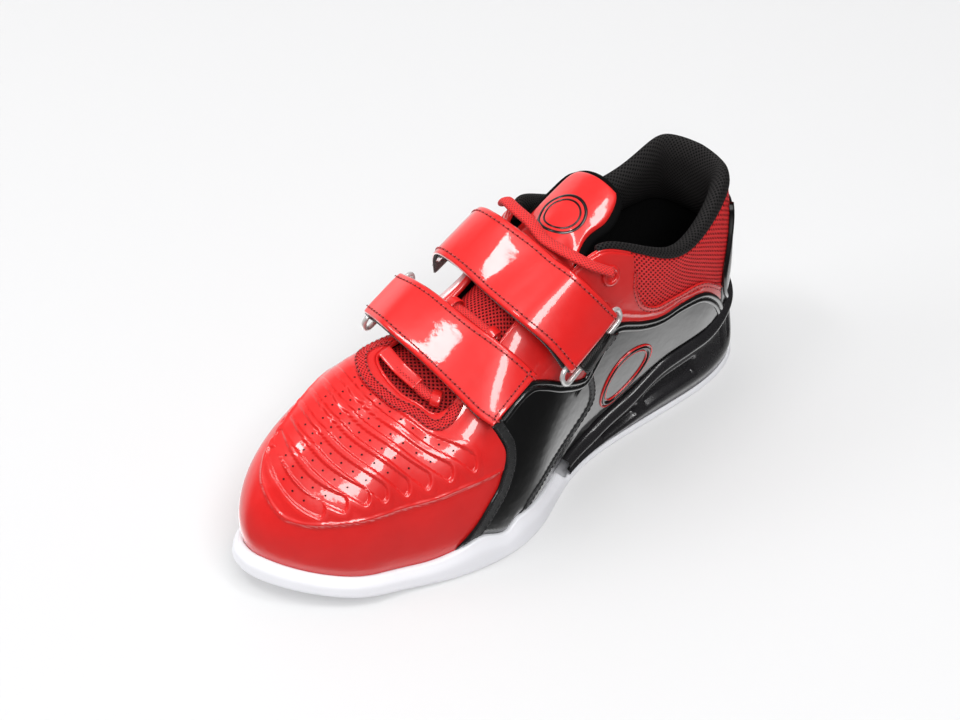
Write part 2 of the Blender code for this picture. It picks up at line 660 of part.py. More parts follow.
def build_tongue(finish, collection):
    """Padded tongue under the eyestays, standing free above the collar."""
    coarse = tongue_face(9)
    lines = [through(coarse[:, c], 2 * len(coarse) - 1) for c in range(coarse.shape[1])]
    outer = np.stack(lines, 1)
    along_step = np.gradient(outer, axis=0)
    across_step = np.gradient(outer, axis=1)
    normal = unit(np.cross(across_step, along_step))
    normal *= np.where(normal[..., 2:] < 0, -1, 1)
    across = np.linspace(-1, 1, outer.shape[1])
    thick = TONGUE_THICKNESS * (1 - TONGUE_EDGE_THINNING * across ** 4)
    inner = outer - normal * thick[None, :, None]
    return sheet_solid("tongue", outer, inner, finish, collection)


def strap_rows(table):
    """Front and rear edges of a strap's outer face."""
    values = np.array(table) / 100
    scale = np.array([LENGTH, BALL_HALF_WIDTH, COLLAR_HEIGHT])
    return values[:, :3] * scale, values[:, 3:] * scale


def ribbon(name, front, rear, thickness, finish, collection):
    """A strip between two edge lines, thickened to both sides of its middle."""
    middle = (front + rear) / 2
    step = unit(np.gradient(middle, axis=0))
    normal = unit(np.cross(unit(rear - front), step))
    offset = normal * thickness / 2
    outer = np.stack([front + offset, (front + rear) / 2 + offset, rear + offset])
    inner = np.stack([front - offset, (front + rear) / 2 - offset, rear - offset])
    return sheet_solid(name, outer, inner, finish, collection)


def folded(front, rear, end_gap):
    """Edge lines of a strap that runs to its ring, folds round it and comes back under itself."""
    front = through(front, STRAP_SAMPLES)
    rear = through(rear, STRAP_SAMPLES)
    middle = (front + rear) / 2
    step = unit(np.gradient(middle, axis=0))
    inward = unit(np.cross(unit(rear - front), step))
    inward *= np.where(inward[:, 2:] > 0, -1, 1)
    inward[-1] = inward[-2]
    near_ring = np.clip((np.linspace(0, 1, STRAP_SAMPLES) - FOLD_START) / (1 - FOLD_START), 0, 1)
    gap = STRAP_LAYER_GAP + (end_gap - STRAP_LAYER_GAP) * near_ring ** 2
    depth = (STRAP_THICKNESS + gap)[:, None]
    radius = (STRAP_THICKNESS + end_gap) / 2
    fold_front = []
    fold_rear = []
    for angle in np.linspace(0, math.pi, 7)[1:-1]:
        shift = inward[-1] * radius * (1 - math.cos(angle)) + step[-1] * radius * math.sin(angle)
        fold_front.append(front[-1] + shift)
        fold_rear.append(rear[-1] + shift)
    back = slice(STRAP_SAMPLES - 1, STRAP_RETURN, -1)
    front_line = np.concatenate([front, fold_front, (front + inward * depth)[back]])
    rear_line = np.concatenate([rear, fold_rear, (rear + inward * depth)[back]])
    bar = (front[-1] + rear[-1]) / 2 + inward[-1] * radius
    across = rear[-1] - front[-1]
    return front_line, rear_line, bar, step[-1], unit(across), np.linalg.norm(across)


def wire_loop(name, points, radius, finish, collection):
    """A closed round wire through points, as a curve."""
    curve = bpy.data.curves.new(name, "CURVE")
    curve.dimensions = "3D"
    curve.bevel_depth = radius
    curve.bevel_resolution = 2
    line = curve.splines.new("POLY")
    line.points.add(len(points) - 1)
    for point, place in zip(line.points, world(points)):
        point.co = (*place, 1)
    line.use_cyclic_u = True
    curve.materials.append(finish)
    thing = bpy.data.objects.new(name, curve)
    collection.objects.link(thing)
    return thing


def round_tube(name, points, radius, finish, collection):
    """A round cord through points, with filled ends."""
    thing = wire_loop(name, points, radius, finish, collection)
    thing.data.splines[0].use_cyclic_u = False
    thing.data.use_fill_caps = True
    return thing


def ring_points(bar, down, across, width):
    """A rounded rectangle of wire, one long side at bar and the other further down."""
    half = width / 2 + RING_OVERHANG
    corner = RING_DEPTH * RING_CORNER_SHARE
    centre = bar + down * RING_DEPTH / 2
    points = []
    for quarter in range(4):
        sx = 1 if quarter in (0, 3) else -1
        sy = 1 if quarter in (0, 1) else -1
        for angle in np.linspace(0, math.pi / 2, 3):
            turn = angle + quarter * math.pi / 2
            x = sx * (half - corner) + corner * math.cos(turn)
            y = sy * (RING_DEPTH / 2 - corner) + corner * math.sin(turn)
            points.append(centre + across * x + down * y)
    return np.array(points)


def build_strap(name, table, collection, finishes):
    """One strap folded round its ring, the ring, and the tab that ties the ring to the upper."""
    front, rear = strap_rows(table)
    front_line, rear_line, bar, down, across, width = folded(front, rear, 2 * (RING_WIRE + CLEARANCE))
    ribbon("strap_" + name, front_line, rear_line, STRAP_THICKNESS, finishes["strap"], collection)
    station, share = TAB_ANCHORS[name]
    seat = upper_offset(np.array([station]), np.array([share]), np.array([-TAB_SEAT]))[0]
    seat_normal = upper_normal(np.array([station]), np.array([share]))[0]
    far_bar_direction = unit(0.5 * down + unit(seat - bar))
    far_bar_direction = unit(far_bar_direction - across * far_bar_direction.dot(across))
    wire_loop("ring_" + name, ring_points(bar, far_bar_direction, across, width), RING_WIRE,
              finishes["ring"], collection)
    far_bar = bar + far_bar_direction * RING_DEPTH
    build_tab(name, far_bar, far_bar_direction, across, width, seat, seat_normal, finishes["tab"], collection)


def build_tab(name, far_bar, direction, across, width, seat, seat_normal, finish, collection):
    """Webbing that loops round the ring's far bar and lies down on the upper."""
    radius = RING_WIRE + 2 * CLEARANCE + TAB_THICKNESS / 2
    out = unit(np.cross(across, direction))
    out *= 1 if out.dot(seat_normal) > 0 else -1
    outer_seat = seat + seat_normal * (TAB_THICKNESS * 1.5 + TAB_LAYER_GAP)
    inner_seat = seat + seat_normal * (TAB_THICKNESS * 0.5)
    middle = (outer_seat + far_bar + out * radius) / 2 + out * TAB_LAYER_GAP
    line = [outer_seat, middle, far_bar + out * radius]
    for angle in np.linspace(0, math.pi, 7)[1:-1]:
        line.append(far_bar + out * radius * math.cos(angle) - direction * radius * math.sin(angle))
    line += [far_bar - out * radius, (inner_seat + far_bar - out * radius) / 2, inner_seat]
    line = np.array(line)
    half = across * width * TAB_HALF_WIDTH_SHARE
    ribbon("tab_" + name, line - half, line + half, TAB_THICKNESS, finish, collection)


# Overlay panels: each row is a share of the way up the panel, then the stations of its two side edges
QUARTER_EDGES = (
    # up, rear, front
    (0.00, 2.45, 10.90),
    (0.25, 2.45, 10.45),
    (0.50, 2.45, 10.00),
    (0.75, 2.45, 9.80),
    (1.00, 2.45, 9.95),
)
QUARTER_TOP_STATIONS = (2.45, 2.96, 3.46, 4.0, 5.1, 5.75, 6.2, 6.85, 7.8, 8.45, 9.0, 10.0)
QUARTER_TOP_SHARES = (0.18, 0.37, 0.50, 0.55, 0.54, 0.55, 0.48, 0.39, 0.48, 0.57, 0.63, 0.65)
COUNTER_EDGES = (
    (0.00, -2.25, 2.25),
    (0.35, -2.35, 2.35),
    (0.60, -2.70, 2.70),
    (0.80, -2.70, 2.70),
    (1.00, -2.00, 2.00),
)
COUNTER_TOP_STATIONS = (-2.7, -2.0, 0.0, 2.0, 2.7)
COUNTER_TOP_SHARES = (0.78, 0.84, 0.88, 0.84, 0.78)
PANEL_LIFT = 0.002


def build_panel(name, edges, top_stations, top_shares, medial, count, finish, collection):
    """A thin panel laid on the upper, from just above the sole to its top edge."""
    outer = []
    inner = []
    for up, rear, front in through(edges, PANEL_ROWS):
        s = np.linspace(rear, front, count)
        top = along_table(s, top_stations, top_shares)
        if medial:
            s = COUNT - s
        foot = panel_floor(s)
        t = foot + (np.maximum(top, foot + 0.04) - foot) * up
        outer.append(upper_offset(s, t, np.full(count, -CURVED_CLEARANCE - PANEL_THICKNESS)))
        inner.append(upper_offset(s, t, np.full(count, -CURVED_CLEARANCE)))
    return sheet_solid(name, np.stack(outer), np.stack(inner), finish, collection)


def panel_floor(s):
    """The lowest share that clears the cup's wall and the wedge's ledge."""
    u = around("sole_along", s)
    cup = along_table(u / LENGTH, CUP_ALONG, CUP_SHARE) * CUP_HEIGHT
    ledge = ledge_top(np.minimum(u, CUP_START * LENGTH))
    top = np.where(u > (CUP_START - 0.02) * LENGTH, np.maximum(cup, ledge), ledge)
    return share_at_height(s, top + PANEL_LIFT)


EYELETS = (
    # name, station, share
    ("lateral", 6.0, 0.86),
    ("medial", 22.0, 0.86),
)


def build_eyelets(finish, collection):
    """Raised ring eyelets of the top lace row."""
    for name, station, share in EYELETS:
        s = np.array([station])
        t = np.array([share])
        centre = upper_offset(s, t, np.array([-CLEARANCE - EYELET_WIRE]))[0]
        normal = upper_normal(s, t)[0]
        first = unit(np.cross(normal, np.array([0, 0, 1.0])))
        second = np.cross(normal, first)
        turns = np.arange(EYELET_POINTS) * 2 * math.pi / EYELET_POINTS
        round_about = [first * math.cos(a) + second * math.sin(a) for a in turns]
        points = centre + EYELET_RADIUS * np.array(round_about)
        wire_loop("eyelet_" + name, points, EYELET_WIRE, finish, collection)


# Lace bars: percent of LENGTH, BALL_HALF_WIDTH, COLLAR_HEIGHT
LACE_BARS = (
    ("top", ((37.9, 67.0, 92.8), (40.4, 54.8, 96.5), (41.6, 41.0, 98.8), (41.8, 24.5, 98.7),
             (42.0, 5.7, 99.6), (41.5, -12.3, 102.4), (40.9, -34.9, 103.0), (39.9, -50.0, 101.8),
             (39.4, -55.7, 98.7))),
    ("bottom", ((66.4, 16.0, 57.3), (67.4, 5.0, 58.3), (67.6, -9.0, 60.5), (68.0, -26.0, 63.6),
                (67.6, -46.0, 66.0))),
    ("middle", ((55.8, 22.0, 74.2), (56.0, 8.0, 76.4), (56.0, -12.0, 77.8), (55.6, -34.0, 77.2))),
)


def build_laces(finish, collection):
    """Bars of the lace across the tongue, above the eyestays."""
    scale = np.array([LENGTH, BALL_HALF_WIDTH, COLLAR_HEIGHT]) / 100
    for name, places in LACE_BARS:
        points = through(np.array(places) * scale, LACE_POINTS)
        round_tube("lace_" + name, points, LACE_RADIUS, finish, collection)


def main():
    for thing in list(bpy.data.objects):
        bpy.data.objects.remove(thing, do_unlink=True)
    shoe = bpy.data.collections.new("weightlifting_shoe")
    cutters = bpy.data.collections.new("cutters")
    bpy.context.scene.collection.children.link(shoe)
    bpy.context.scene.collection.children.link(cutters)
    material("cutter", (1.0, 0.5, 0.0), 0.5)
    white_rubber = material("white_rubber", (0.85, 0.85, 0.87), 0.45)
    black_tpu = material("black_tpu", (0.02, 0.02, 0.022), 0.25)
    red_patent = material("red_patent", (0.75, 0.02, 0.02), 0.12)
    black_patent = material("black_patent", (0.01, 0.01, 0.012), 0.08)
    black_mesh = material("black_mesh", (0.015, 0.015, 0.015), 0.9)
    red_cloth = material("red_cloth", (0.7, 0.03, 0.03), 0.8)
    steel = material("steel", (0.7, 0.7, 0.7), 0.25, 1.0)
    finishes = {"strap": red_patent, "ring": steel, "tab": black_mesh}

    build_outsole(white_rubber, shoe)
    build_wedge(black_tpu, shoe, cutters)
    build_upper(red_patent, shoe)
    build_padding(black_mesh, shoe)
    build_insole(black_mesh, shoe)
    build_tongue(red_cloth, shoe)
    for name, medial in (("quarter_lateral", False), ("quarter_medial", True)):
        build_panel(name, QUARTER_EDGES, QUARTER_TOP_STATIONS, QUARTER_TOP_SHARES, medial,
                    PANEL_COLUMNS, black_patent, shoe)
    build_panel("heel_counter", COUNTER_EDGES, COUNTER_TOP_STATIONS, COUNTER_TOP_SHARES, False,
                COUNTER_COLUMNS, black_patent, shoe)
    build_strap("lower", STRAP_LOWER, shoe, finishes)
    build_strap("upper", STRAP_UPPER, shoe, finishes)
    build_eyelets(red_patent, shoe)
    build_laces(red_cloth, shoe)


main()
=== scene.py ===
"""Looks of the left weightlifting shoe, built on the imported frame."""

import math

import bmesh
import bpy
import numpy as np
from mathutils import Matrix, Vector
from mathutils.geometry import delaunay_2d_cdt

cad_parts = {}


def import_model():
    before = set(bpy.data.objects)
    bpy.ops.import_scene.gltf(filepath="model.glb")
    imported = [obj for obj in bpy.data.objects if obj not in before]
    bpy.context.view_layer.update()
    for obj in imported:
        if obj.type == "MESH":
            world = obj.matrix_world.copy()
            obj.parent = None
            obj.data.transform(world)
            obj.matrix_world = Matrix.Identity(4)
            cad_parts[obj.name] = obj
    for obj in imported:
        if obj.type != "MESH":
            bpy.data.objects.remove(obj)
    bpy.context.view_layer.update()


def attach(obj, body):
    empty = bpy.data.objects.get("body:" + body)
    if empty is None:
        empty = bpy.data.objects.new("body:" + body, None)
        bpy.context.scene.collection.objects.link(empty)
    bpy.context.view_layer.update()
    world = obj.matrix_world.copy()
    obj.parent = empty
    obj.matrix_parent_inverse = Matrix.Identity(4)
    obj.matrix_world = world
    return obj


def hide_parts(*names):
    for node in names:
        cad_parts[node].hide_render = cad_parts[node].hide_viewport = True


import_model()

# Camera: place in metres, angles in degrees
EYE = (-0.80083, -0.76335, 0.98947)
ELEVATION = 40.10
AZIMUTH = 45.855
ROLL = 0.563
WIDTH_ANGLE = 17.507

# Sizes of the frame, repeated from the part's source, in metres
LENGTH = 0.292
BALL_HALF_WIDTH = 0.053
COLLAR_HEIGHT = 0.1185
WALL = 0.0022
CLEARANCE = 0.0003
CURVED_CLEARANCE = 0.0005
TOE_SPRING = 0.009
SPRING_START = 0.736
HEEL_BED = 0.0245
FOREFOOT_BED = 0.007
FEATHER_INSET = 0.0065
BASE_THICKNESS = 0.0035
CUP_WALL = 0.0019
CUP_CORNER = 0.0018
CUP_HEIGHT = 0.016
LEDGE_HEIGHT = 0.035
LEDGE_BAND = 0.0065
WINDOW_DEPTH = 0.0035
PAD_RISE = 0.0125
PAD_THICKNESS = 0.010
TONGUE_THICKNESS = 0.006
STRAP_THICKNESS = 0.0017
STRAP_LAYER_GAP = 0.0006
RING_WIRE = 0.0012
RING_DEPTH = 0.0085
RING_OVERHANG = 0.0038
TAB_THICKNESS = 0.0014
TAB_SEAT = 0.0034
EYELET_RADIUS = 0.0038
EYELET_WIRE = 0.0011
LEDGE_LIP = 0.001
CUP_START = 0.474
CUP_END_RAMP = 0.012

# Stations round the shoe, percent of LENGTH, BALL_HALF_WIDTH and COLLAR_HEIGHT
STATION_COLUMNS = ("sole_along", "sole_across", "rim_along", "rim_across", "rim_up",
                   "low_out", "low_up", "high_along", "high_out", "high_down")
STATIONS = (
    (0.0, 0.0, 2.9, 0.0, 84.0, 7.5, 21.9, 0.0, 3.8, 25.3),
    (1.4, 34.0, 3.8, 29.6, 84.4, 7.5, 21.9, 0.0, 5.7, 25.3),
    (5.5, 58.5, 6.5, 47.2, 85.2, 7.5, 21.9, 0.0, 7.5, 25.3),
    (13.0, 69.4, 12.3, 60.4, 81.6, 11.3, 20.3, 0.0, 7.5, 21.9),
    (21.2, 69.1, 21.2, 68.9, 78.9, 9.4, 20.3, 0.0, 1.9, 18.6),
    (30.1, 66.0, 29.5, 65.1, 88.6, 9.4, 21.9, 0.0, 5.7, 23.6),
    (38.4, 64.5, 37.0, 53.8, 99.2, 9.4, 25.3, 1.0, 17.0, 21.9),
    (45.9, 69.4, 41.4, 44.3, 94.9, 9.4, 27.0, 1.7, 22.6, 18.6),
    (52.7, 83.0, 47.3, 32.1, 85.2, 5.7, 27.0, 2.1, 34.0, 12.7),
    (58.9, 95.8, 53.4, 27.4, 76.4, 3.8, 25.3, 2.4, 37.7, 9.3),
    (67.1, 98.9, 61.0, 28.3, 65.4, 3.8, 23.6, 3.1, 39.6, 6.8),
    (76.7, 84.9, 67.5, 23.6, 54.9, 3.8, 22.8, 4.8, 32.1, 3.4),
    (84.6, 65.7, 69.5, 9.4, 57.0, 3.8, 21.9, 8.2, 24.5, 1.7),
    (92.5, 42.5, 70.5, -3.8, 59.3, 5.7, 21.9, 11.6, 17.0, 1.7),
    (100.0, -19.8, 70.7, -17.0, 61.2, 13.2, 25.3, 15.8, 1.9, 1.7),
    (97.3, -67.9, 70.3, -32.1, 63.3, 22.6, 28.7, 13.7, 30.2, 0.0),
    (89.0, -88.7, 69.3, -45.3, 64.6, 17.0, 32.1, 11.0, 34.0, 0.0),
    (80.1, -94.3, 67.0, -50.9, 65.4, 11.3, 32.1, 6.2, 37.7, 1.7),
    (69.9, -89.2, 61.6, -46.2, 68.8, 9.4, 30.4, 2.7, 34.0, 5.1),
    (60.3, -73.2, 54.8, -39.6, 75.9, 17.0, 28.7, 2.1, 32.1, 8.4),
    (52.7, -59.4, 47.6, -38.7, 85.2, 17.0, 27.0, 1.4, 24.5, 15.2),
    (45.2, -53.8, 41.4, -44.3, 93.4, 20.8, 27.0, 1.0, 22.6, 18.6),
    (38.4, -53.8, 37.0, -53.8, 96.8, 18.9, 25.3, 0.7, 17.0, 21.9),
    (30.1, -60.4, 29.5, -62.3, 85.0, 13.2, 21.9, 0.0, 5.7, 23.6),
    (21.2, -67.9, 21.2, -63.2, 75.5, 9.4, 20.3, 0.0, 1.9, 18.6),
    (13.0, -69.8, 12.3, -55.7, 75.9, 11.3, 20.3, 0.0, 7.5, 21.9),
    (5.5, -58.5, 6.5, -45.3, 82.6, 7.5, 21.9, 0.0, 7.5, 25.3),
    (1.4, -34.0, 3.8, -29.6, 84.0, 7.5, 21.9, 0.0, 5.7, 25.3),
)
COUNT = len(STATIONS)
TOE = 14
LENGTH_COLUMNS = ("sole_along", "rim_along", "high_along")
HEIGHT_COLUMNS = ("rim_up", "low_up", "high_down")
BED_ALONG = (0.0, 0.17, 0.31, 0.445, 0.565, 0.685, 1.0)
BED_SHARE = (1.0, 0.97, 0.72, 0.27, 0.08, 0.0, 0.0)
CUP_ALONG = (0.0, 0.486, 0.562, 0.627, 0.658, 0.709, 0.757, 0.805, 0.863, 0.921, 0.969, 1.0)
CUP_SHARE = (0.50, 0.50, 0.75, 0.94, 0.70, 0.98, 0.74, 0.62, 0.68, 0.81, 0.98, 1.16)
LEDGE_ALONG = (0.0, 0.05, 0.12, 0.18, 0.247, 0.318, 0.366, 0.428, 0.49)
LEDGE_SHARE = (1.28, 1.14, 0.97, 0.95, 0.885, 0.63, 0.52, 0.36, 0.27)
WINDOWS = ((0.300, 0.375), (0.165, 0.280))
GROOVES_ALONG = (0.062, 0.088)
GROOVE_WIDTH = 0.0022
PAD_SECTION = ((0.03, 0.04), (0.35, -0.10), (0.82, -0.05), (1.00, 0.16), (0.90, 0.52), (0.30, 0.90),
               (-0.90, 0.98), (-1.90, 0.74), (-2.60, 0.42))
PAD_STATIONS = (0.0, 2.0, 4.0, 5.3, 5.9, 6.3)
PAD_RISE_SHARE = (1.0, 0.88, 0.48, 0.36, 0.30, 0.24)
PAD_DEPTH_SHARE = (1.0, 0.95, 0.85, 0.62, 0.48, 0.42)
TONGUE_FREE = ((36.6, -3.0, 100.6, 34.0, 5.2), (32.2, -3.0, 104.0, 35.5, 5.6),
               (28.8, -5.0, 106.4, 31.5, 4.6), (27.4, -5.5, 107.2, 24.0, 3.4))
THROAT_ROWS = ((11.4, 16.6, 0.0, 0.90), (10.6, 17.4, 2.0, 0.90), (9.8, 18.2, 5.5, 0.90),
               (9.0, 19.0, 7.5, 0.91), (8.2, 19.8, 9.0, 0.92), (7.4, 20.6, 10.5, 0.94))
TONGUE_TOE_TUCK = 0.012
TONGUE_CROWN = ((0.22, 0.78), (0.5, 1.0), (0.78, 0.78))
STRAP_LOWER = (
    (65.4, 71.7, 57.8, 54.5, 66.0, 65.8),
    (66.1, 56.6, 60.3, 56.2, 47.2, 73.8),
    (66.3, 35.8, 64.1, 57.2, 28.3, 78.1),
    (66.4, 11.3, 67.9, 57.9, 7.5, 81.0),
    (66.4, -13.2, 70.9, 57.9, -17.0, 82.7),
    (66.4, -37.7, 73.4, 57.5, -41.5, 83.1),
    (66.1, -60.4, 74.7, 57.2, -66.0, 82.3),
    (64.4, -88.0, 70.5, 56.2, -88.0, 78.5),
)
STRAP_UPPER = (
    (39.7, -88.0, 77.6, 48.6, -92.0, 67.5),
    (40.8, -81.1, 89.5, 49.7, -86.8, 77.6),
    (42.5, -64.2, 98.7, 51.4, -71.7, 85.7),
    (43.5, -41.5, 102.1, 52.1, -50.9, 87.8),
    (43.7, -18.9, 101.7, 52.7, -28.3, 87.8),
    (43.5, 5.7, 99.6, 53.1, -7.5, 86.5),
    (43.8, 29.7, 98.0, 53.7, 16.5, 86.1),
    (43.3, 51.9, 95.5, 53.9, 42.4, 84.5),
    (41.5, 68.0, 87.5, 52.4, 66.0, 77.4),
    (38.9, 76.4, 77.0, 50.9, 84.0, 67.7),
)
LACE_TOP = ((37.9, 67.0, 92.8), (40.4, 54.8, 96.5), (41.6, 41.0, 98.8), (41.8, 24.5, 98.7), (42.0, 5.7, 99.6),
            (41.5, -12.3, 102.4), (40.9, -34.9, 103.0), (39.9, -50.0, 101.8), (39.4, -55.7, 98.7))
LACE_BOTTOM = ((66.4, 16.0, 57.3), (67.4, 5.0, 58.3), (67.6, -9.0, 60.5), (68.0, -26.0, 63.6),
               (67.6, -46.0, 66.0))
LACE_MIDDLE = ((55.8, 22.0, 74.2), (56.0, 8.0, 76.4), (56.0, -12.0, 77.8), (55.6, -34.0, 77.2))
ROW_SCALE = np.array([LENGTH, BALL_HALF_WIDTH, COLLAR_HEIGHT]) / 100


# Curves
def spline_tables():
    """Value and second difference of each column, for a smooth closed cubic spline."""
    ring = 4 * np.eye(COUNT) + np.roll(np.eye(COUNT), 1, 0) + np.roll(np.eye(COUNT), -1, 0)
    tables = {}
    for name, values in zip(STATION_COLUMNS, np.array(STATIONS).T / 100):
        scale = BALL_HALF_WIDTH
        if name in LENGTH_COLUMNS:
            scale = LENGTH
        elif name in HEIGHT_COLUMNS:
            scale = COLLAR_HEIGHT
        values = values * scale
        bend = np.linalg.solve(ring, 6 * (np.roll(values, 1) - 2 * values + np.roll(values, -1)))
        tables[name] = (values, bend)
    return tables


TABLES = spline_tables()


def around(name, s):
    """A column at station s, smooth round the closed row."""
    values, bend = TABLES[name]
    s = np.asarray(s, dtype=float) % COUNT
    i = np.floor(s).astype(int) % COUNT
    j = (i + 1) % COUNT
    f = s % 1.0
    g = 1 - f
    return g * values[i] + f * values[j] + (g ** 3 - g) * bend[i] / 6 + (f ** 3 - f) * bend[j] / 6


def along_table(x, knots, values):
    """Smooth curve through a short open table."""
    knots = np.asarray(knots, dtype=float)
    values = np.asarray(values, dtype=float)
    x = np.clip(np.asarray(x, dtype=float), knots[0], knots[-1])
    step = np.diff(values) / np.diff(knots)
    slope = np.concatenate([[step[0]], (step[1:] + step[:-1]) / 2, [step[-1]]])
    slope[1:-1][step[1:] * step[:-1] <= 0] = 0
    i = np.clip(np.searchsorted(knots, x, side="right") - 1, 0, len(knots) - 2)
    width = knots[i + 1] - knots[i]
    f = (x - knots[i]) / width
    return ((2 * f ** 3 - 3 * f ** 2 + 1) * values[i] + (f ** 3 - 2 * f ** 2 + f) * width * slope[i]
            + (3 * f ** 2 - 2 * f ** 3) * values[i + 1] + (f ** 3 - f ** 2) * width * slope[i + 1])


def catmull_rom(p0, p1, p2, p3, f):
    """The smooth curve from p1 to p2 at share f."""
    return 0.5 * (2 * p1 + (p2 - p0) * f + (2 * p0 - 5 * p1 + 4 * p2 - p3) * f ** 2
                  + (3 * p1 - p0 - 3 * p2 + p3) * f ** 3)


def through(points, count):
    """Catmull-Rom line through a few points, resampled to count points."""
    points = np.asarray(points, dtype=float)
    padded = np.concatenate([[2 * points[0] - points[1]], points, [2 * points[-1] - points[-2]]])
    places = np.linspace(0, len(points) - 1, count)
    i = np.minimum(np.floor(places).astype(int), len(points) - 2)
    return catmull_rom(padded[i], padded[i + 1], padded[i + 2], padded[i + 3], (places - i)[:, None])


def unit(vectors):
    return vectors / np.maximum(np.linalg.norm(vectors, axis=-1, keepdims=True), 1e-12)


def ease(x):
    """Smooth step from 0 to 1."""
    x = np.clip(x, 0, 1)
    return x * x * (3 - 2 * x)


def dome(x):
    """Height at x of a half circle of radius 1, and 0 beyond it."""
    return np.sqrt(np.clip(1 - np.asarray(x) ** 2, 0, None))


def run_lengths(points):
    """Length along a line up to each of its points."""
    return np.concatenate([[0], np.cumsum(np.linalg.norm(np.diff(points, axis=0), axis=1))])


def evenly(values, spacing=None, line=None, count=None):
    """Rows of values at an even spacing along a line, which is the values themselves where none is given."""
    values = np.asarray(values, dtype=float)
    runs = run_lengths(values if line is None else line)
    if count is None:
        count = max(3, int(round(runs[-1] / spacing)) + 1)
    places = np.linspace(0, runs[-1], count)
    return np.stack([np.interp(places, runs, column) for column in values.T], -1)


# Sole and upper surfaces
def spring(u):
    start = SPRING_START * LENGTH
    return TOE_SPRING * (np.clip(u - start, 0, None) / (LENGTH - start)) ** 2


def bed(u):
    share = along_table(u / LENGTH, BED_ALONG, BED_SHARE)
    return FOREFOOT_BED + (HEEL_BED - FOREFOOT_BED) * share + spring(u)


def outward(s):
    e = 0.02
    du = around("sole_along", s + e) - around("sole_along", s - e)
    dv = around("sole_across", s + e) - around("sole_across", s - e)
    n = np.hypot(du, dv)
    return np.stack([-dv / n, du / n, 0 * n], -1)


def edge(s, inset, height):
    flat = np.stack([around("sole_along", s), around("sole_across", s), 0 * s], -1)
    points = flat - outward(s) * np.asarray(inset)[..., None]
    points[..., 2] = height
    return points


def upper_face(s, t):
    """The upper's outer face: s round the shoe in stations, t from the feather edge 0 to the rim 1."""
    s, t = np.broadcast_arrays(np.asarray(s, dtype=float), np.asarray(t, dtype=float))
    out = outward(s)
    foot = edge(s, FEATHER_INSET, 0)
    foot[..., 2] = bed(foot[..., 0]) + CLEARANCE
    rim = np.stack([around("rim_along", s), around("rim_across", s), around("rim_up", s)], -1)
    low = foot + out * around("low_out", s)[..., None]
    low[..., 2] += around("low_up", s)
    high = rim + out * around("high_out", s)[..., None]
    high[..., 0] += around("high_along", s)
    high[..., 2] -= around("high_down", s)
    t = t[..., None]
    return foot * (1 - t) ** 3 + 3 * low * t * (1 - t) ** 2 + 3 * high * t ** 2 * (1 - t) + rim * t ** 3


def upper_slopes(s, t):
    e = 0.01
    return ((upper_face(s + e, t) - upper_face(s - e, t)) / (2 * e),
            (upper_face(s, t + e) - upper_face(s, t - e)) / (2 * e))


def upper_normal(s, t):
    ds, dt = upper_slopes(s, t)
    return unit(np.cross(dt, ds))


def upper_offset(s, t, depth):
    """Point at a depth inside the upper's outer face; a negative depth is outside it."""
    s, t = np.broadcast_arrays(np.asarray(s, dtype=float), np.asarray(t, dtype=float))
    return upper_face(s, t) - upper_normal(s, t) * np.asarray(depth)[..., None]


def share_at_height(s, height):
    """The share t at which the upper's side reaches a height."""
    shares = np.linspace(0, 0.6, 61)
    heights = upper_face(s[:, None], shares[None, :])[..., 2]
    return np.array([np.interp(level, row, shares) for level, row in zip(height, heights)])


def station_at(u, medial=False):
    """The station whose sole edge lies at u, on the lateral or the medial side."""
    stations = np.linspace(TOE, COUNT, 800) if medial else np.linspace(0, TOE, 800)
    places = around("sole_along", stations)
    if medial:
        stations, places = stations[::-1], places[::-1]
    return float(np.interp(u, np.maximum.accumulate(places), stations))


def ledge_top(u):
    return np.maximum(along_table(u / LENGTH, LEDGE_ALONG, LEDGE_SHARE) * LEDGE_HEIGHT, bed(u) + LEDGE_LIP)


def cup_top(u):
    """Height of the cup's wall, which ends at the wedge."""
    full = along_table(u / LENGTH, CUP_ALONG, CUP_SHARE) * CUP_HEIGHT
    rise = np.clip((u - CUP_START * LENGTH) / (CUP_END_RAMP * LENGTH), 0, 1)
    return BASE_THICKNESS + (full - BASE_THICKNESS) * rise


def side_top(s):
    """Height of whatever stands round the upper at station s."""
    u = around("sole_along", s)
    cup = cup_top(u)
    return np.where(u > CUP_START * LENGTH, np.maximum(cup, bed(u)), np.maximum(cup, ledge_top(u)))


def foot_share(s, rise):
    """The share t at a height above the cup or the ledge."""
    s = np.atleast_1d(np.asarray(s, dtype=float))
    return share_at_height(s, side_top(s) + rise)


def rim_frame(s):
    """The rim's points, the normals there and the directions in which the upper rises to it."""
    rim = upper_face(s, 1.0)
    return rim, upper_normal(s, 1.0), unit(rim - upper_face(s, 0.98))


def solve_metric(ds, dt, along_s, along_t):
    """Steps in s and t whose products with the surface's slopes are along_s and along_t."""
    a, b, c = (ds * ds).sum(-1), (ds * dt).sum(-1), (dt * dt).sum(-1)
    det = a * c - b * b
    return (c * along_s - b * along_t) / det, (a * along_t - b * along_s) / det


def world(points):
    """From along, across, up to the frame: toe at -X, lateral side at -Y."""
    points = np.asarray(points, dtype=float)
    return np.stack([LENGTH / 2 - points[..., 0], -points[..., 1], points[..., 2]], -1)


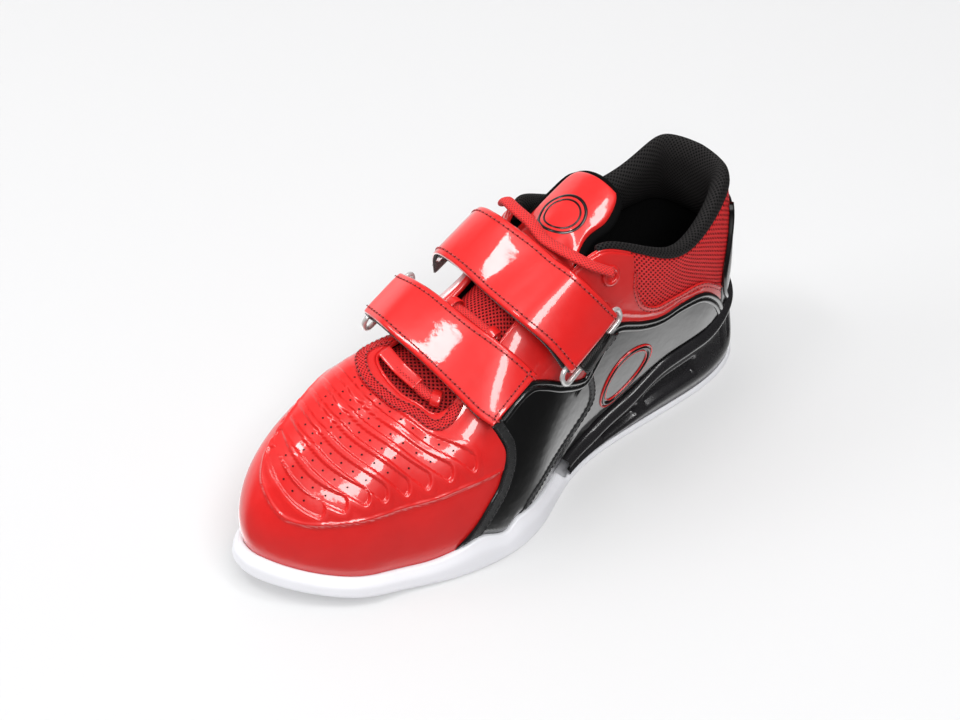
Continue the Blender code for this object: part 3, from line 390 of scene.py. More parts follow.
# Materials
class Graph:
    """Nodes of one material. Plain values are set on the shader's own sockets."""

    def __init__(self, name, colour, **values):
        self.material = bpy.data.materials.new(name)
        self.material.use_nodes = True
        self.tree = self.material.node_tree
        self.shader = self.tree.nodes["Principled BSDF"]
        self.shader.inputs["Base Color"].default_value = (*colour, 1)
        for key, value in values.items():
            self.shader.inputs[key.replace("_", " ")].default_value = value
        self.height = None

    def node(self, kind, **settings):
        made = self.tree.nodes.new("ShaderNode" + kind)
        for key, value in settings.items():
            setattr(made, key, value)
        return made

    def put(self, socket, value):
        if isinstance(value, (int, float)):
            socket.default_value = value
        elif isinstance(value, tuple):
            socket.default_value = (*value, 1) if len(value) == 3 and socket.type == "RGBA" else value
        else:
            self.tree.links.new(value, socket)

    def maths(self, operation, a, b=0.0, clamp=False):
        made = self.node("Math", operation=operation, use_clamp=clamp)
        self.put(made.inputs[0], a)
        self.put(made.inputs[1], b)
        return made.outputs[0]

    def object_place(self):
        return self.node("TexCoord").outputs["Object"]

    def uv(self):
        """The two surface coordinates, in metres."""
        split = self.node("SeparateXYZ")
        self.put(split.inputs[0], self.node("TexCoord").outputs["UV"])
        return split.outputs[0], split.outputs[1]

    def noise(self, size, detail=2.0, place=None):
        """Noise with features of about size metres, 0 to 1."""
        made = self.node("TexNoise")
        self.put(made.inputs["Vector"], place or self.object_place())
        self.put(made.inputs["Scale"], 1.0 / size)
        self.put(made.inputs["Detail"], detail)
        return made.outputs["Fac"]

    def wave(self, coordinate, pitch, phase=0.0):
        """A sine of a coordinate, from 0 to 1."""
        turn = self.maths("MULTIPLY", coordinate, 2 * math.pi / pitch)
        sine = self.maths("SINE", self.maths("ADD", turn, phase))
        return self.maths("ADD", self.maths("MULTIPLY", sine, 0.5), 0.5)

    def mix(self, share, low, high):
        made = self.node("Mix", data_type="RGBA")
        self.put(made.inputs["Factor"], share)
        self.put(made.inputs[6], low)
        self.put(made.inputs[7], high)
        return made.outputs[2]

    def spread(self, value, low, high):
        """A 0 to 1 value mapped to low to high."""
        made = self.node("MapRange")
        self.put(made.inputs["Value"], value)
        made.inputs["To Min"].default_value = low
        made.inputs["To Max"].default_value = high
        return made.outputs[0]

    def step(self, value, start, end):
        """Smooth step of a value between start and end."""
        made = self.node("MapRange", interpolation_type="SMOOTHSTEP")
        self.put(made.inputs["Value"], value)
        made.inputs["From Min"].default_value = start
        made.inputs["From Max"].default_value = end
        return made.outputs[0]

    def bump(self, value, distance, strength=1.0):
        """Adds a bump of a height in metres to the shader's normal and its coat's."""
        made = self.node("Bump")
        self.put(made.inputs["Height"], value)
        made.inputs["Distance"].default_value = distance
        made.inputs["Strength"].default_value = strength
        if self.height is not None:
            self.put(made.inputs["Normal"], self.height)
        self.height = made.outputs["Normal"]
        self.put(self.shader.inputs["Normal"], self.height)
        return self

    def coat_too(self):
        if self.height is not None:
            self.put(self.shader.inputs["Coat Normal"], self.height)
        return self

    def colour(self, value):
        self.put(self.shader.inputs["Base Color"], value)
        return self

    def rough(self, value):
        self.put(self.shader.inputs["Roughness"], value)
        return self


def shade(colour, share):
    return tuple(c * share for c in colour)


def patent(name, colour, dark=0.82, waviness=0.00010):
    """Patent leather: a coloured film under a thick clear coat, with a soft orange peel."""
    g = Graph(name, colour, Roughness=0.34, Coat_Weight=1.0, Coat_Roughness=0.03, Coat_IOR=1.55,
              Specular_IOR_Level=0.5)
    g.colour(g.mix(g.noise(0.018, 3.0), shade(colour, dark), colour))
    g.rough(g.spread(g.noise(0.006), 0.26, 0.42))
    g.bump(g.noise(0.0045, 1.0), waviness)
    g.bump(g.noise(0.0008, 2.0), 0.000012)
    return g.coat_too().material


def rubber(name, colour):
    g = Graph(name, colour, Roughness=0.42, Specular_IOR_Level=0.45)
    g.colour(g.mix(g.noise(0.03, 4.0), shade(colour, 0.94), colour))
    g.rough(g.spread(g.noise(0.004, 3.0), 0.34, 0.52))
    g.bump(g.noise(0.0012, 3.0), 0.00003)
    return g.material


def moulded(name, colour):
    """Glossy moulded plastic with faint flow marks."""
    g = Graph(name, colour, Roughness=0.22, Specular_IOR_Level=0.55, Coat_Weight=0.35, Coat_Roughness=0.08)
    g.colour(g.mix(g.noise(0.01, 3.0), shade(colour, 0.7), colour))
    g.rough(g.spread(g.noise(0.003, 3.0), 0.16, 0.34))
    g.bump(g.noise(0.002, 2.0), 0.00002)
    return g.coat_too().material


def pitted(name, colour, pit_shade, pitch_u, pitch_v, depth, open_share=0.55, roughness=0.75, sheen=0.3):
    """Spacer mesh or knit: staggered pits in rows, with yarn grain between them."""
    g = Graph(name, colour, Roughness=roughness, Sheen_Weight=sheen, Sheen_Roughness=0.4,
              Specular_IOR_Level=0.3)
    u, v = g.uv()
    a = g.wave(u, pitch_u)
    b = g.wave(v, pitch_v)
    c = g.wave(u, pitch_u, math.pi)
    d = g.wave(v, pitch_v, math.pi)
    pits = g.maths("MAXIMUM", g.maths("MULTIPLY", a, b), g.maths("MULTIPLY", c, d))
    hole = g.step(pits, open_share, min(0.98, open_share + 0.28))
    yarn = g.wave(g.maths("ADD", u, v), min(pitch_u, pitch_v) / 3.1)
    tone = g.mix(g.noise(0.012, 3.0), shade(colour, 0.8), colour)
    # The pits, sunk by the bump below, take the darker pit colour: painted shade in the pits.
    g.colour(g.mix(hole, g.mix(g.spread(yarn, 0.0, 0.25), tone, shade(colour, 0.6)), pit_shade))
    g.rough(g.spread(hole, roughness, 0.95))
    g.bump(g.maths("SUBTRACT", 1.0, hole), depth)
    g.bump(yarn, depth * 0.15)
    return g.material


def woven(name, colour, pitch, depth, roughness=0.8, sheen=0.4, level=0.5):
    """Plain woven cloth or webbing, with painted shade in the low gaps of the weave."""
    g = Graph(name, colour, Roughness=roughness, Sheen_Weight=sheen, Sheen_Roughness=0.45,
              Specular_IOR_Level=level)
    u, v = g.uv()
    weave = g.maths("MULTIPLY", g.wave(u, pitch), g.wave(v, pitch * 0.7))
    other = g.maths("MULTIPLY", g.wave(u, pitch, math.pi), g.wave(v, pitch * 0.7, math.pi))
    cloth = g.maths("ADD", weave, other)
    # The weave's low gaps, sunk by the bump below, are painted darker: painted shade in the gaps.
    g.colour(g.mix(cloth, shade(colour, 0.45), colour))
    g.rough(g.spread(g.noise(0.003, 2.0), roughness - 0.08, min(1.0, roughness + 0.1)))
    g.bump(cloth, depth)
    return g.material


def braided(name, colour, pitch, depth):
    """Braided cord: two crossing diagonals, with painted shade in the grooves between them."""
    g = Graph(name, colour, Roughness=0.55, Sheen_Weight=0.05, Sheen_Roughness=0.4)
    u, v = g.uv()
    left = g.wave(g.maths("ADD", u, v), pitch)
    right = g.wave(g.maths("SUBTRACT", u, v), pitch, math.pi / 2)
    braid = g.maths("MAXIMUM", left, right)
    # The grooves between the strands, sunk by the bump below, are painted darker: painted shade.
    g.colour(g.mix(braid, shade(colour, 0.45), colour))
    g.rough(g.spread(g.noise(0.002, 2.0), 0.5, 0.75))
    g.bump(braid, depth)
    return g.material


def wire(name, colour):
    g = Graph(name, colour, Metallic=0.45, Roughness=0.18)
    g.rough(g.spread(g.noise(0.0015, 4.0), 0.10, 0.34))
    g.colour(g.mix(g.noise(0.004, 2.0), shade(colour, 0.7), colour))
    g.bump(g.noise(0.0006, 3.0), 0.00001)
    return g.material


def thread(name, colour):
    g = Graph(name, colour, Roughness=0.55, Sheen_Weight=0.3, Sheen_Roughness=0.4)
    u, v = g.uv()
    twist = g.wave(g.maths("ADD", u, v), 0.0007)
    # The twist's grooves, sunk by the bump below, are painted darker: painted shade in the grooves.
    g.colour(g.mix(twist, shade(colour, 0.5), colour))
    g.rough(g.spread(g.noise(0.002), 0.45, 0.7))
    g.bump(twist, 0.00006)
    return g.material


RED = (0.76, 0.016, 0.015)
BLACK = (0.003, 0.003, 0.0034)
red_patent = patent("red_patent_leather", RED)
black_patent = patent("black_patent_leather", BLACK, 0.6)
strap_patent = patent("strap_patent_leather", shade(RED, 1.02), 0.88, 0.00006)
white_rubber = rubber("white_rubber_sole", (0.86, 0.86, 0.90))
black_tpu = moulded("black_moulded_wedge", (0.021, 0.020, 0.022))
# Pitted cloths: colour, painted shade colour in the pits, the two pitches, depth, open share, roughness,
# sheen
knit = pitted("red_knit_mesh", (0.86, 0.022, 0.024), (0.10, 0.001, 0.002),
              0.0028, 0.0032, 0.0006, 0.54, 0.55, 0.0)
coarse_mesh = pitted("red_coarse_mesh", (0.70, 0.018, 0.020), (0.07, 0.001, 0.002),
                     0.0024, 0.0024, 0.0006, 0.48, 0.6, 0.0)
spacer = pitted("black_spacer_mesh", (0.020, 0.018, 0.018), (0.0005, 0.0005, 0.0005),
                0.0022, 0.0022, 0.0005, 0.45, 0.7, 0.0)
band_red = pitted("red_textured_band", (0.72, 0.020, 0.022), (0.14, 0.002, 0.003),
                  0.0021, 0.0017, 0.0003, 0.55, 0.38, 0.0)
# Woven cloths: colour, pitch, depth, roughness, sheen, specular level
lining = woven("black_lining_cloth", (0.002, 0.002, 0.0022), 0.0012, 0.00012, 0.9, 0.0, 0.15)
footbed = woven("black_footbed_cloth", (0.003, 0.003, 0.0033), 0.0015, 0.00015, 0.9, 0.0, 0.15)
band_black = woven("black_textured_band", (0.012, 0.012, 0.013), 0.0011, 0.00022, 0.42, 0.1)
webbing = woven("black_webbing", (0.007, 0.007, 0.007), 0.0016, 0.0002, 0.5, 0.0)
fleece = woven("black_fleece", (0.012, 0.012, 0.012), 0.0009, 0.0002, 0.95, 0.6)
lace_braid = braided("red_braided_lace", (0.78, 0.022, 0.022), 0.0017, 0.0003)
steel = wire("polished_wire", (0.80, 0.79, 0.78))
red_thread = thread("red_thread", (0.62, 0.018, 0.020))
# Dark colour for discs at the needle holes: painted shade in the holes
stitch_hole_shade = woven("stitch_hole_painted_shade", (0.10, 0.004, 0.004), 0.0006, 0.0001, 0.9, 0.0)
black_thread = thread("black_thread", (0.02, 0.02, 0.022))
# Dark disc colour for the punched vamp holes: painted shade in the holes
perforation_shade = woven("perforation_painted_shade", (0.02, 0.002, 0.002), 0.0006, 0.0001, 0.9, 0.0)
# Pale pink patent for the strips of painted highlight on the medial eyestay's rim
painted_rim_highlight = patent("painted_rim_highlight_patent", (0.75, 0.45, 0.46), 0.85)


# Mesh helpers
def make(name, points, faces, finishes, slot, uv=None, face_finish=None, recalc=True):
    """A piece that rides on the shoe. uv is in metres, one pair a point. recalc turns its faces outward."""
    mesh = bpy.data.meshes.new(name)
    mesh.from_pydata(world(points).tolist(), [], [tuple(int(i) for i in f) for f in faces])
    for finish in finishes if isinstance(finishes, (list, tuple)) else [finishes]:
        mesh.materials.append(finish)
    if face_finish is not None:
        mesh.polygons.foreach_set("material_index", np.asarray(face_finish, dtype=np.int32))
    if recalc:
        work = bmesh.new()
        work.from_mesh(mesh)
        bmesh.ops.recalc_face_normals(work, faces=work.faces)
        work.to_mesh(mesh)
        work.free()
    mesh.shade_smooth()
    if uv is not None:
        layer = mesh.uv_layers.new(name="metres")
        corners = np.empty(len(mesh.loops), dtype=np.int32)
        mesh.loops.foreach_get("vertex_index", corners)
        layer.data.foreach_set("uv", np.asarray(uv, dtype=np.float32)[corners].ravel())
    thing = bpy.data.objects.new(name, mesh)
    bpy.context.scene.collection.objects.link(thing)
    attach(thing, "root")
    return thing


def grid_faces(rows, columns, closed_rows=False, closed_columns=False):
    faces = []
    for r in range(rows if closed_rows else rows - 1):
        for c in range(columns if closed_columns else columns - 1):
            d = (c + 1) % columns
            e = (r + 1) % rows
            faces.append((r * columns + c, r * columns + d, e * columns + d, e * columns + c))
    return faces


def grid_uv(grid, even_row=None):
    """Distances along and across a grid of points, in metres; across from one row, where given."""
    along = np.concatenate([np.zeros((1, grid.shape[1])),
                            np.cumsum(np.linalg.norm(np.diff(grid, axis=0), axis=-1), 0)])
    across = np.concatenate([np.zeros((grid.shape[0], 1)),
                             np.cumsum(np.linalg.norm(np.diff(grid, axis=1), axis=-1), 1)], 1)
    along = np.repeat(along.mean(1, keepdims=True), grid.shape[1], 1)
    if even_row is not None:
        across = np.broadcast_to(across[even_row], across.shape)
    return np.stack([along, across], -1).reshape(-1, 2)


def grid_piece(name, grid, finish, slot, closed_rows=False, closed_columns=False, caps=False, even_row=None,
               **more):
    """A piece from a grid of points. caps closes the first and the last row of closed columns."""
    rows, columns = grid.shape[:2]
    faces = grid_faces(rows, columns, closed_rows, closed_columns)
    if caps:
        faces.append(tuple(range(columns)))
        faces.append(tuple((rows - 1) * columns + c for c in reversed(range(columns))))
    return make(name, grid.reshape(-1, 3), faces, finish, slot, grid_uv(grid, even_row), **more)


def sweep(path, ups, section, closed=False):
    """Grid of a section, across and up, carried along a path."""
    path = np.asarray(path, dtype=float)
    step = np.gradient(path, axis=0)
    if closed:
        step = np.roll(path, -1, 0) - np.roll(path, 1, 0)
    step = unit(step)
    side = unit(np.cross(step, np.broadcast_to(ups, path.shape)))
    rise = np.cross(side, step)
    section = np.asarray(section, dtype=float)
    if section.ndim == 2:
        section = np.broadcast_to(section, (len(path), *section.shape))
    return path[:, None] + side[:, None] * section[..., :1] + rise[:, None] * section[..., 1:]


def oval(half_width, half_height, count=14, power=2.0):
    """Section of a swept piece; a higher power makes it squarer."""
    turn = np.arange(count) * 2 * math.pi / count
    x, y = np.cos(turn), np.sin(turn)
    return np.stack([half_width * np.sign(x) * abs(x) ** (2 / power),
                     half_height * np.sign(y) * abs(y) ** (2 / power)], -1)


def circle(centre, first, second, wide, high, count):
    """Points round an ellipse whose half sizes are wide along first and high along second."""
    turn = (np.arange(count) * 2 * math.pi / count)[:, None]
    return centre + first * (wide * np.cos(turn)) + second * (high * np.sin(turn))


def tangents(normal, way):
    """Two directions across a normal, the first of them also across way."""
    first = unit(np.cross(normal, way))
    return first, np.cross(normal, first)


# Lines on the upper, as pairs of station and share
def on_upper(points, spacing=0.001):
    """Stations and shares, evenly spaced, of a smooth line on the upper through pairs (s, t)."""
    dense = through(points, max(80, 24 * len(points)))
    return tuple(evenly(dense, spacing, upper_face(dense[:, 0], dense[:, 1])).T)


SHIFT_STEPS = 3


def shifted(s, t, across):
    """The line moved sideways on the upper; positive is to the left of travel seen from outside."""
    for _ in range(SHIFT_STEPS):
        ds, dt = upper_slopes(s, t)
        tangent = unit(np.gradient(upper_face(s, t), axis=0))
        side = np.cross(unit(np.cross(dt, ds)), tangent) * np.asarray(across / SHIFT_STEPS)[..., None]
        step_s, step_t = solve_metric(ds, dt, (side * ds).sum(-1), (side * dt).sum(-1))
        s, t = s + step_s, t + step_t
    return s, t


PRESSED_SHARE = 0.3
PRESSED_BELOW = 0.0003
PRESSED_RUN = 0.0035


def clear_share(s, z):
    """PRESSED_SHARE inside the cup or ledge, rising to 1 a few millimetres above it."""
    return PRESSED_SHARE + (1 - PRESSED_SHARE) * ease((z - side_top(s) + PRESSED_BELOW) / PRESSED_RUN)


def lifted(s, t, height):
    """Points a height outside the upper, pressed in where the cup or ledge holds it."""
    face = upper_face(s, t)
    height = np.asarray(height) * clear_share(s, face[..., 2])
    return face + upper_normal(s, t) * height[..., None]


BAND_SINK = 0.0006
BAND_EDGE = 0.2
RIB_PLACE = 0.5
RIB_HALF = 0.42


def band(name, points, width, lift, thickness, finish, slot, crown=0.0, spacing=0.0012, columns=11, ribs=0.0):
    """A strip laid along a line on the upper, with rounded edges. ribs is the height of two rolled ribs."""
    s, t = on_upper(points, spacing)
    places = np.linspace(-1, 1, columns)
    rows = []
    for place in np.sign(places) * (1 - (1 - abs(places)) ** 1.5):
        round_edge = dome(max(0.0, (abs(place) - 1 + BAND_EDGE) / BAND_EDGE))
        rib = dome((abs(place) - RIB_PLACE) / RIB_HALF)
        height = (thickness + BAND_SINK) * round_edge + crown * (1 - place ** 2) + ribs * rib
        rows.append(lifted(*shifted(s, t, width / 2 * place), lift - BAND_SINK + height))
    face_outward(grid_piece(name, np.stack(rows, 1), finish, slot))


def face_outward(piece):
    """Turns an open piece's faces away from a line along the shoe's inside."""
    mesh = piece.data
    normals, centres = np.empty(len(mesh.polygons) * 3), np.empty(len(mesh.polygons) * 3)
    mesh.polygons.foreach_get("normal", normals)
    mesh.polygons.foreach_get("center", centres)
    centres = centres.reshape(-1, 3)
    middle = np.stack([centres[:, 0] * 0.8, centres[:, 1] * 0, centres[:, 2] * 0 + 0.03], -1)
    if (normals.reshape(-1, 3) * (centres - middle)).sum() < 0:
        mesh.flip_normals()


STITCHES = {}
HOLE_SHADE_DISCS = []


STITCH_SIDES = 6
STITCH_PROFILE = ((-1.0, 0.15), (-0.82, 0.75), (0.0, 1.0), (0.82, 0.75), (1.0, 0.15))
STITCH_FLATNESS = 0.8
STITCH_ARCH = 0.4
STITCH_SINK = 0.00005
WIDE_STITCH = 0.00042
HOLE_WIDTH = 1.2
HOLE_LIFT = 0.00010


def stitch_points(points, normals, finish, pitch=0.0030, length=0.0021, radius=0.00032):
    """Adds a row of stitches along points that lie on a surface, with dark discs of painted shade at the
    needle holes between the red ones.
    """
    places = evenly(points, pitch)
    ups = unit(evenly(normals, pitch, points))
    steps = unit(np.gradient(places, axis=0))
    for place, up, step in zip(places, ups, steps):
        side = np.cross(up, step)
        if finish == red_thread:
            # Dark disc of painted shade at the needle hole after each red stitch
            hole = place + step * (pitch / 2) + up * HOLE_LIFT
            HOLE_SHADE_DISCS.append(circle(hole, step, side, radius * HOLE_WIDTH, radius * HOLE_WIDTH, STITCH_SIDES))
        body = []
        for a, girth in STITCH_PROFILE:
            rise = radius * STITCH_ARCH * (1 - a * a) - STITCH_SINK
            body.append(circle(place + step * (length / 2 * a) + up * rise, side, up, radius * girth,
                               radius * girth * STITCH_FLATNESS, STITCH_SIDES))
        STITCHES.setdefault(finish, []).append(np.stack(body))


def stitch_line(points, offset, lift, finish, **more):
    """A row of stitches along a line on the upper, moved sideways by offset."""
    s, t = shifted(*on_upper(points), offset)
    stitch_points(lifted(s, t, lift), upper_normal(s, t), finish, **more)


def build_stitches():
    rows = len(STITCH_PROFILE)
    one = grid_faces(rows, STITCH_SIDES, closed_columns=True)
    for finish, bodies in STITCHES.items():
        starts = range(0, len(bodies) * rows * STITCH_SIDES, rows * STITCH_SIDES)
        faces = [tuple(start + i for i in face) for start in starts for face in one]
        make("stitches_" + finish.name, np.concatenate(bodies).reshape(-1, 3), faces, finish,
             "red_lace" if finish == red_thread else "black_webbing",
             np.concatenate([grid_uv(body) for body in bodies]), recalc=False)


def build_hole_shade_discs():
    """Dark discs at the needle holes between the red stitches: painted shade of the holes."""
    points = np.concatenate(HOLE_SHADE_DISCS)
    faces = [tuple(range(start, start + STITCH_SIDES)) for start in range(0, len(points), STITCH_SIDES)]
    make("stitch_hole_shade_discs", points, faces, stitch_hole_shade, "red_lace", points[:, :2], recalc=False)


def inside(points, polygon):
    """Which points lie in a polygon."""
    x, y = points[:, :1], points[:, 1:]
    ax, ay = polygon[:, 0], polygon[:, 1]
    bx, by = np.roll(ax, -1), np.roll(ay, -1)
    crosses = (ay > y) != (by > y)
    with np.errstate(divide="ignore", invalid="ignore"):
        at = ax + (y - ay) * (bx - ax) / (by - ay)
    return (crosses & (x < at)).sum(1) % 2 == 1


def nearest(points, others):
    """Distance from each point to the nearest of the others."""
    result = np.empty(len(points))
    for start in range(0, len(points), 4000):
        part = points[start:start + 4000]
        result[start:start + 4000] = np.sqrt(((part[:, None] - others[None]) ** 2).sum(-1).min(1))
    return result


def flat_map(s, t):
    """A plane picture of the upper, near true to size: the plan, with the sides folded out."""
    face = upper_face(s, t)
    drop = around("rim_up", s) - face[..., 2]
    return face[..., :2] + outward(s)[..., :2] * drop[..., None] * 0.9


EDGE_ROUND = 0.0009
RING_PLACES = (0.13, 0.42, 1.0)
INWARD_PROBE = 0.0001


def panel(name, sides, lift, thickness, finish, slot, spacing=0.0012, relief=None):
    """A panel laid on the upper inside a closed outline of smooth sides, with rounded edges.

    relief(points, s, t) gives more height."""
    lines = [on_upper(side, spacing) for side in sides]
    s, t = [np.concatenate([line[k][:-1] for line in lines]) for k in (0, 1)]
    loop, flat = upper_face(s, t), flat_map(s, t)
    ds, dt = upper_slopes(s, t)
    tangent = unit(np.roll(loop, -1, 0) - np.roll(loop, 1, 0))
    side = np.cross(unit(np.cross(dt, ds)), tangent)
    go_s, go_t = solve_metric(ds, dt, (side * ds).sum(-1), (side * dt).sum(-1))
    if inside(flat_map(s + go_s * INWARD_PROBE, t + go_t * INWARD_PROBE), flat).mean() < 0.5:
        go_s, go_t = -go_s, -go_t
    # The outline, rings over the rounded edge, and an even grid inside them
    found = [(s, t, flat, np.zeros(len(s)))]
    for place in RING_PLACES:
        reach = EDGE_ROUND * place
        ring_s, ring_t = s + go_s * reach, t + go_t * reach
        ring = flat_map(ring_s, ring_t)
        keep = inside(ring, flat) & (nearest(ring, flat) > reach * 0.75)
        found.append((ring_s[keep], ring_t[keep], ring[keep], np.full(keep.sum(), dome(1 - place))))
    edge_count = sum(len(part[0]) for part in found)
    grid_s, grid_t = even_grid(s.min(), s.max(), t.min(), t.max(), spacing)
    grid = flat_map(grid_s, grid_t)
    keep = inside(grid, flat)
    grid_s, grid_t, grid = grid_s[keep], grid_t[keep], grid[keep]
    keep = nearest(grid, flat) > EDGE_ROUND + spacing * 0.45
    found.append((grid_s[keep], grid_t[keep], grid[keep], np.ones(keep.sum())))
    all_s, all_t, all_flat, heights = [np.concatenate(parts) for parts in zip(*found)]
    area = (flat[:, 0] * np.roll(flat[:, 1], -1) - np.roll(flat[:, 0], -1) * flat[:, 1]).sum()
    outline = list(range(len(s)))[::-1 if area < 0 else 1]
    _, _, faces, origins, _, _ = delaunay_2d_cdt([tuple(p) for p in all_flat * 1000], [], [outline], 1, 1e-5)
    source = np.array([origin[0] if origin else -1 for origin in origins])
    faces = [tuple(source[list(face)]) for face in faces if (source[list(face)] >= 0).all()]
    face = upper_face(all_s, all_t)
    height = lift + thickness * heights
    if relief is not None:
        height = height + relief(face, all_s, all_t) * heights
    piece = make(name, lifted(all_s, all_t, height), faces, finish, slot, all_flat, recalc=False)
    face_outward(piece)
    smooth_normals(piece, all_s, all_t, height, relief, face, edge_count)
    return piece


RELIEF_PROBE = 0.0003
PRESS_PROBE = 0.004


def smooth_normals(piece, s, t, height, relief, face, edge_count):
    """Vertex normals from the panel's own formula, so that a glossy face mirrors cleanly."""
    normal = upper_normal(s, t)
    first = unit(np.cross(normal, [0.0, 0.0, 1.0]) + [1e-6, 0, 0])
    second = np.cross(normal, first)
    tilt = np.zeros((len(s), 2))
    if relief is not None:
        for k, way in enumerate((first, second)):
            ahead, behind = relief(face + way * RELIEF_PROBE, s, t), relief(face - way * RELIEF_PROBE, s, t)
            tilt[:, k] = (ahead - behind) / (2 * RELIEF_PROBE)

    def pressed(s, t):
        return clear_share(s, upper_face(s, t)[:, 2])

    ds, dt = upper_slopes(s, t)
    e = PRESS_PROBE
    go_s, go_t = solve_metric(ds, dt, (pressed(s + e, t) - pressed(s - e, t)) / (2 * e),
                              (pressed(s, t + e) - pressed(s, t - e)) / (2 * e))
    base = np.median(height)
    gradient = (ds * go_s[:, None] + dt * go_t[:, None]) * base
    result = unit(normal - first * tilt[:, :1] - second * tilt[:, 1:] - gradient)
    mesh = piece.data
    made = np.empty(len(mesh.vertices) * 3)
    mesh.vertices.foreach_get("normal", made)
    level = np.abs(height - base) < 0.9 * base if relief is None else np.ones(len(s), dtype=bool)
    use = (level & (np.arange(len(s)) >= edge_count))[:, None]
    ours = world(result) - world(np.zeros(3))
    mesh.normals_split_custom_set_from_vertices(np.where(use, ours, made.reshape(-1, 3)).tolist())


UPPER_HEIGHT = 0.115


def even_grid(s0, s1, t0, t1, spacing):
    """Points spread evenly over a range of stations and shares."""
    rows = int((t1 - t0) * UPPER_HEIGHT / spacing) + 2
    result_s, result_t = [], []
    fine = np.linspace(s0, s1, 500)
    for number, t in enumerate(np.linspace(t0, t1, rows)):
        line = upper_face(fine, np.full(500, t))
        runs = run_lengths(line)
        places = np.arange(spacing * (0.25 + 0.5 * (number % 2)), runs[-1], spacing)
        result_s.append(np.interp(places, runs, fine))
        result_t.append(np.full(len(places), t))
    return np.concatenate(result_s), np.concatenate(result_t)


def mirrored(points):
    """The same line on the other side of the shoe."""
    return [(COUNT - s, t) for s, t in points]


SIDES = (("lateral", list), ("medial", mirrored))


# Camera
def build_camera():
    azimuth, elevation, roll = map(math.radians, (AZIMUTH, ELEVATION, ROLL))
    view = np.array([math.sin(azimuth) * math.cos(elevation), math.cos(azimuth) * math.cos(elevation),
                     -math.sin(elevation)])
    right = np.array([math.cos(azimuth), -math.sin(azimuth), 0])
    up = np.cross(right, view)
    tilted_right = right * math.cos(roll) + up * math.sin(roll)
    tilted_up = up * math.cos(roll) - right * math.sin(roll)
    camera = bpy.data.objects.new("camera", bpy.data.cameras.new("camera"))
    camera.data.sensor_width = 36.0
    camera.data.angle = math.radians(WIDTH_ANGLE)
    camera.data.clip_start = 0.05
    turn = Matrix([list(row) for row in np.stack([tilted_right, tilted_up, -view], 1)]).to_4x4()
    camera.matrix_world = Matrix.Translation(EYE) @ turn
    bpy.context.scene.collection.objects.link(camera)
    bpy.context.scene.camera = camera


build_camera()


# Laces: flat tubular cords that cross the tongue and go down at both ends
LACE_SPACING = 0.0012
LACE_SAMPLES = 120


def lace(name, table, half_width, half_height, node):
    """One lace bar along its table's points."""
    path = evenly(through(np.array(table) * ROW_SCALE, LACE_SAMPLES), LACE_SPACING)
    grid = sweep(path, (0, 0, 1), oval(half_width, half_height, 16, 2.4))
    piece = grid_piece(name, grid, lace_braid, "red_lace", closed_columns=True, caps=True)
    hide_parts(node)


lace("lace_across_top", LACE_TOP, 0.0031, 0.0017, "lace_top")
lace("lace_across_toe_end", LACE_BOTTOM, 0.0029, 0.0021, "lace_bottom")
lace("lace_across_middle", LACE_MIDDLE, 0.0023, 0.0014, "lace_middle")


# Sole
def even_loop(count):
    """Stations spread evenly along the sole's edge, round the closed loop."""
    fine = np.linspace(0, COUNT, 3000)
    return evenly(fine[:, None], line=edge(fine, 0, 0), count=count + 1)[:-1, 0]


OUTSOLE_STATIONS = 560
SOLE_INNER_INSET = 0.012
SOLE_INNER_LIFT = 0.0006
WALL_SHARES = (0.12, 0.25, 0.40, 0.52, 0.58, 0.70, 0.82, 0.92, 0.97)
BEVEL_SHARE = 0.55
BEVEL_BULGE = 0.0009
LIP_ROUND = 0.0005
LIP_TURNS = (0.35, 0.8, 1.57)
CUP_INNER_DEPTH = 0.0022


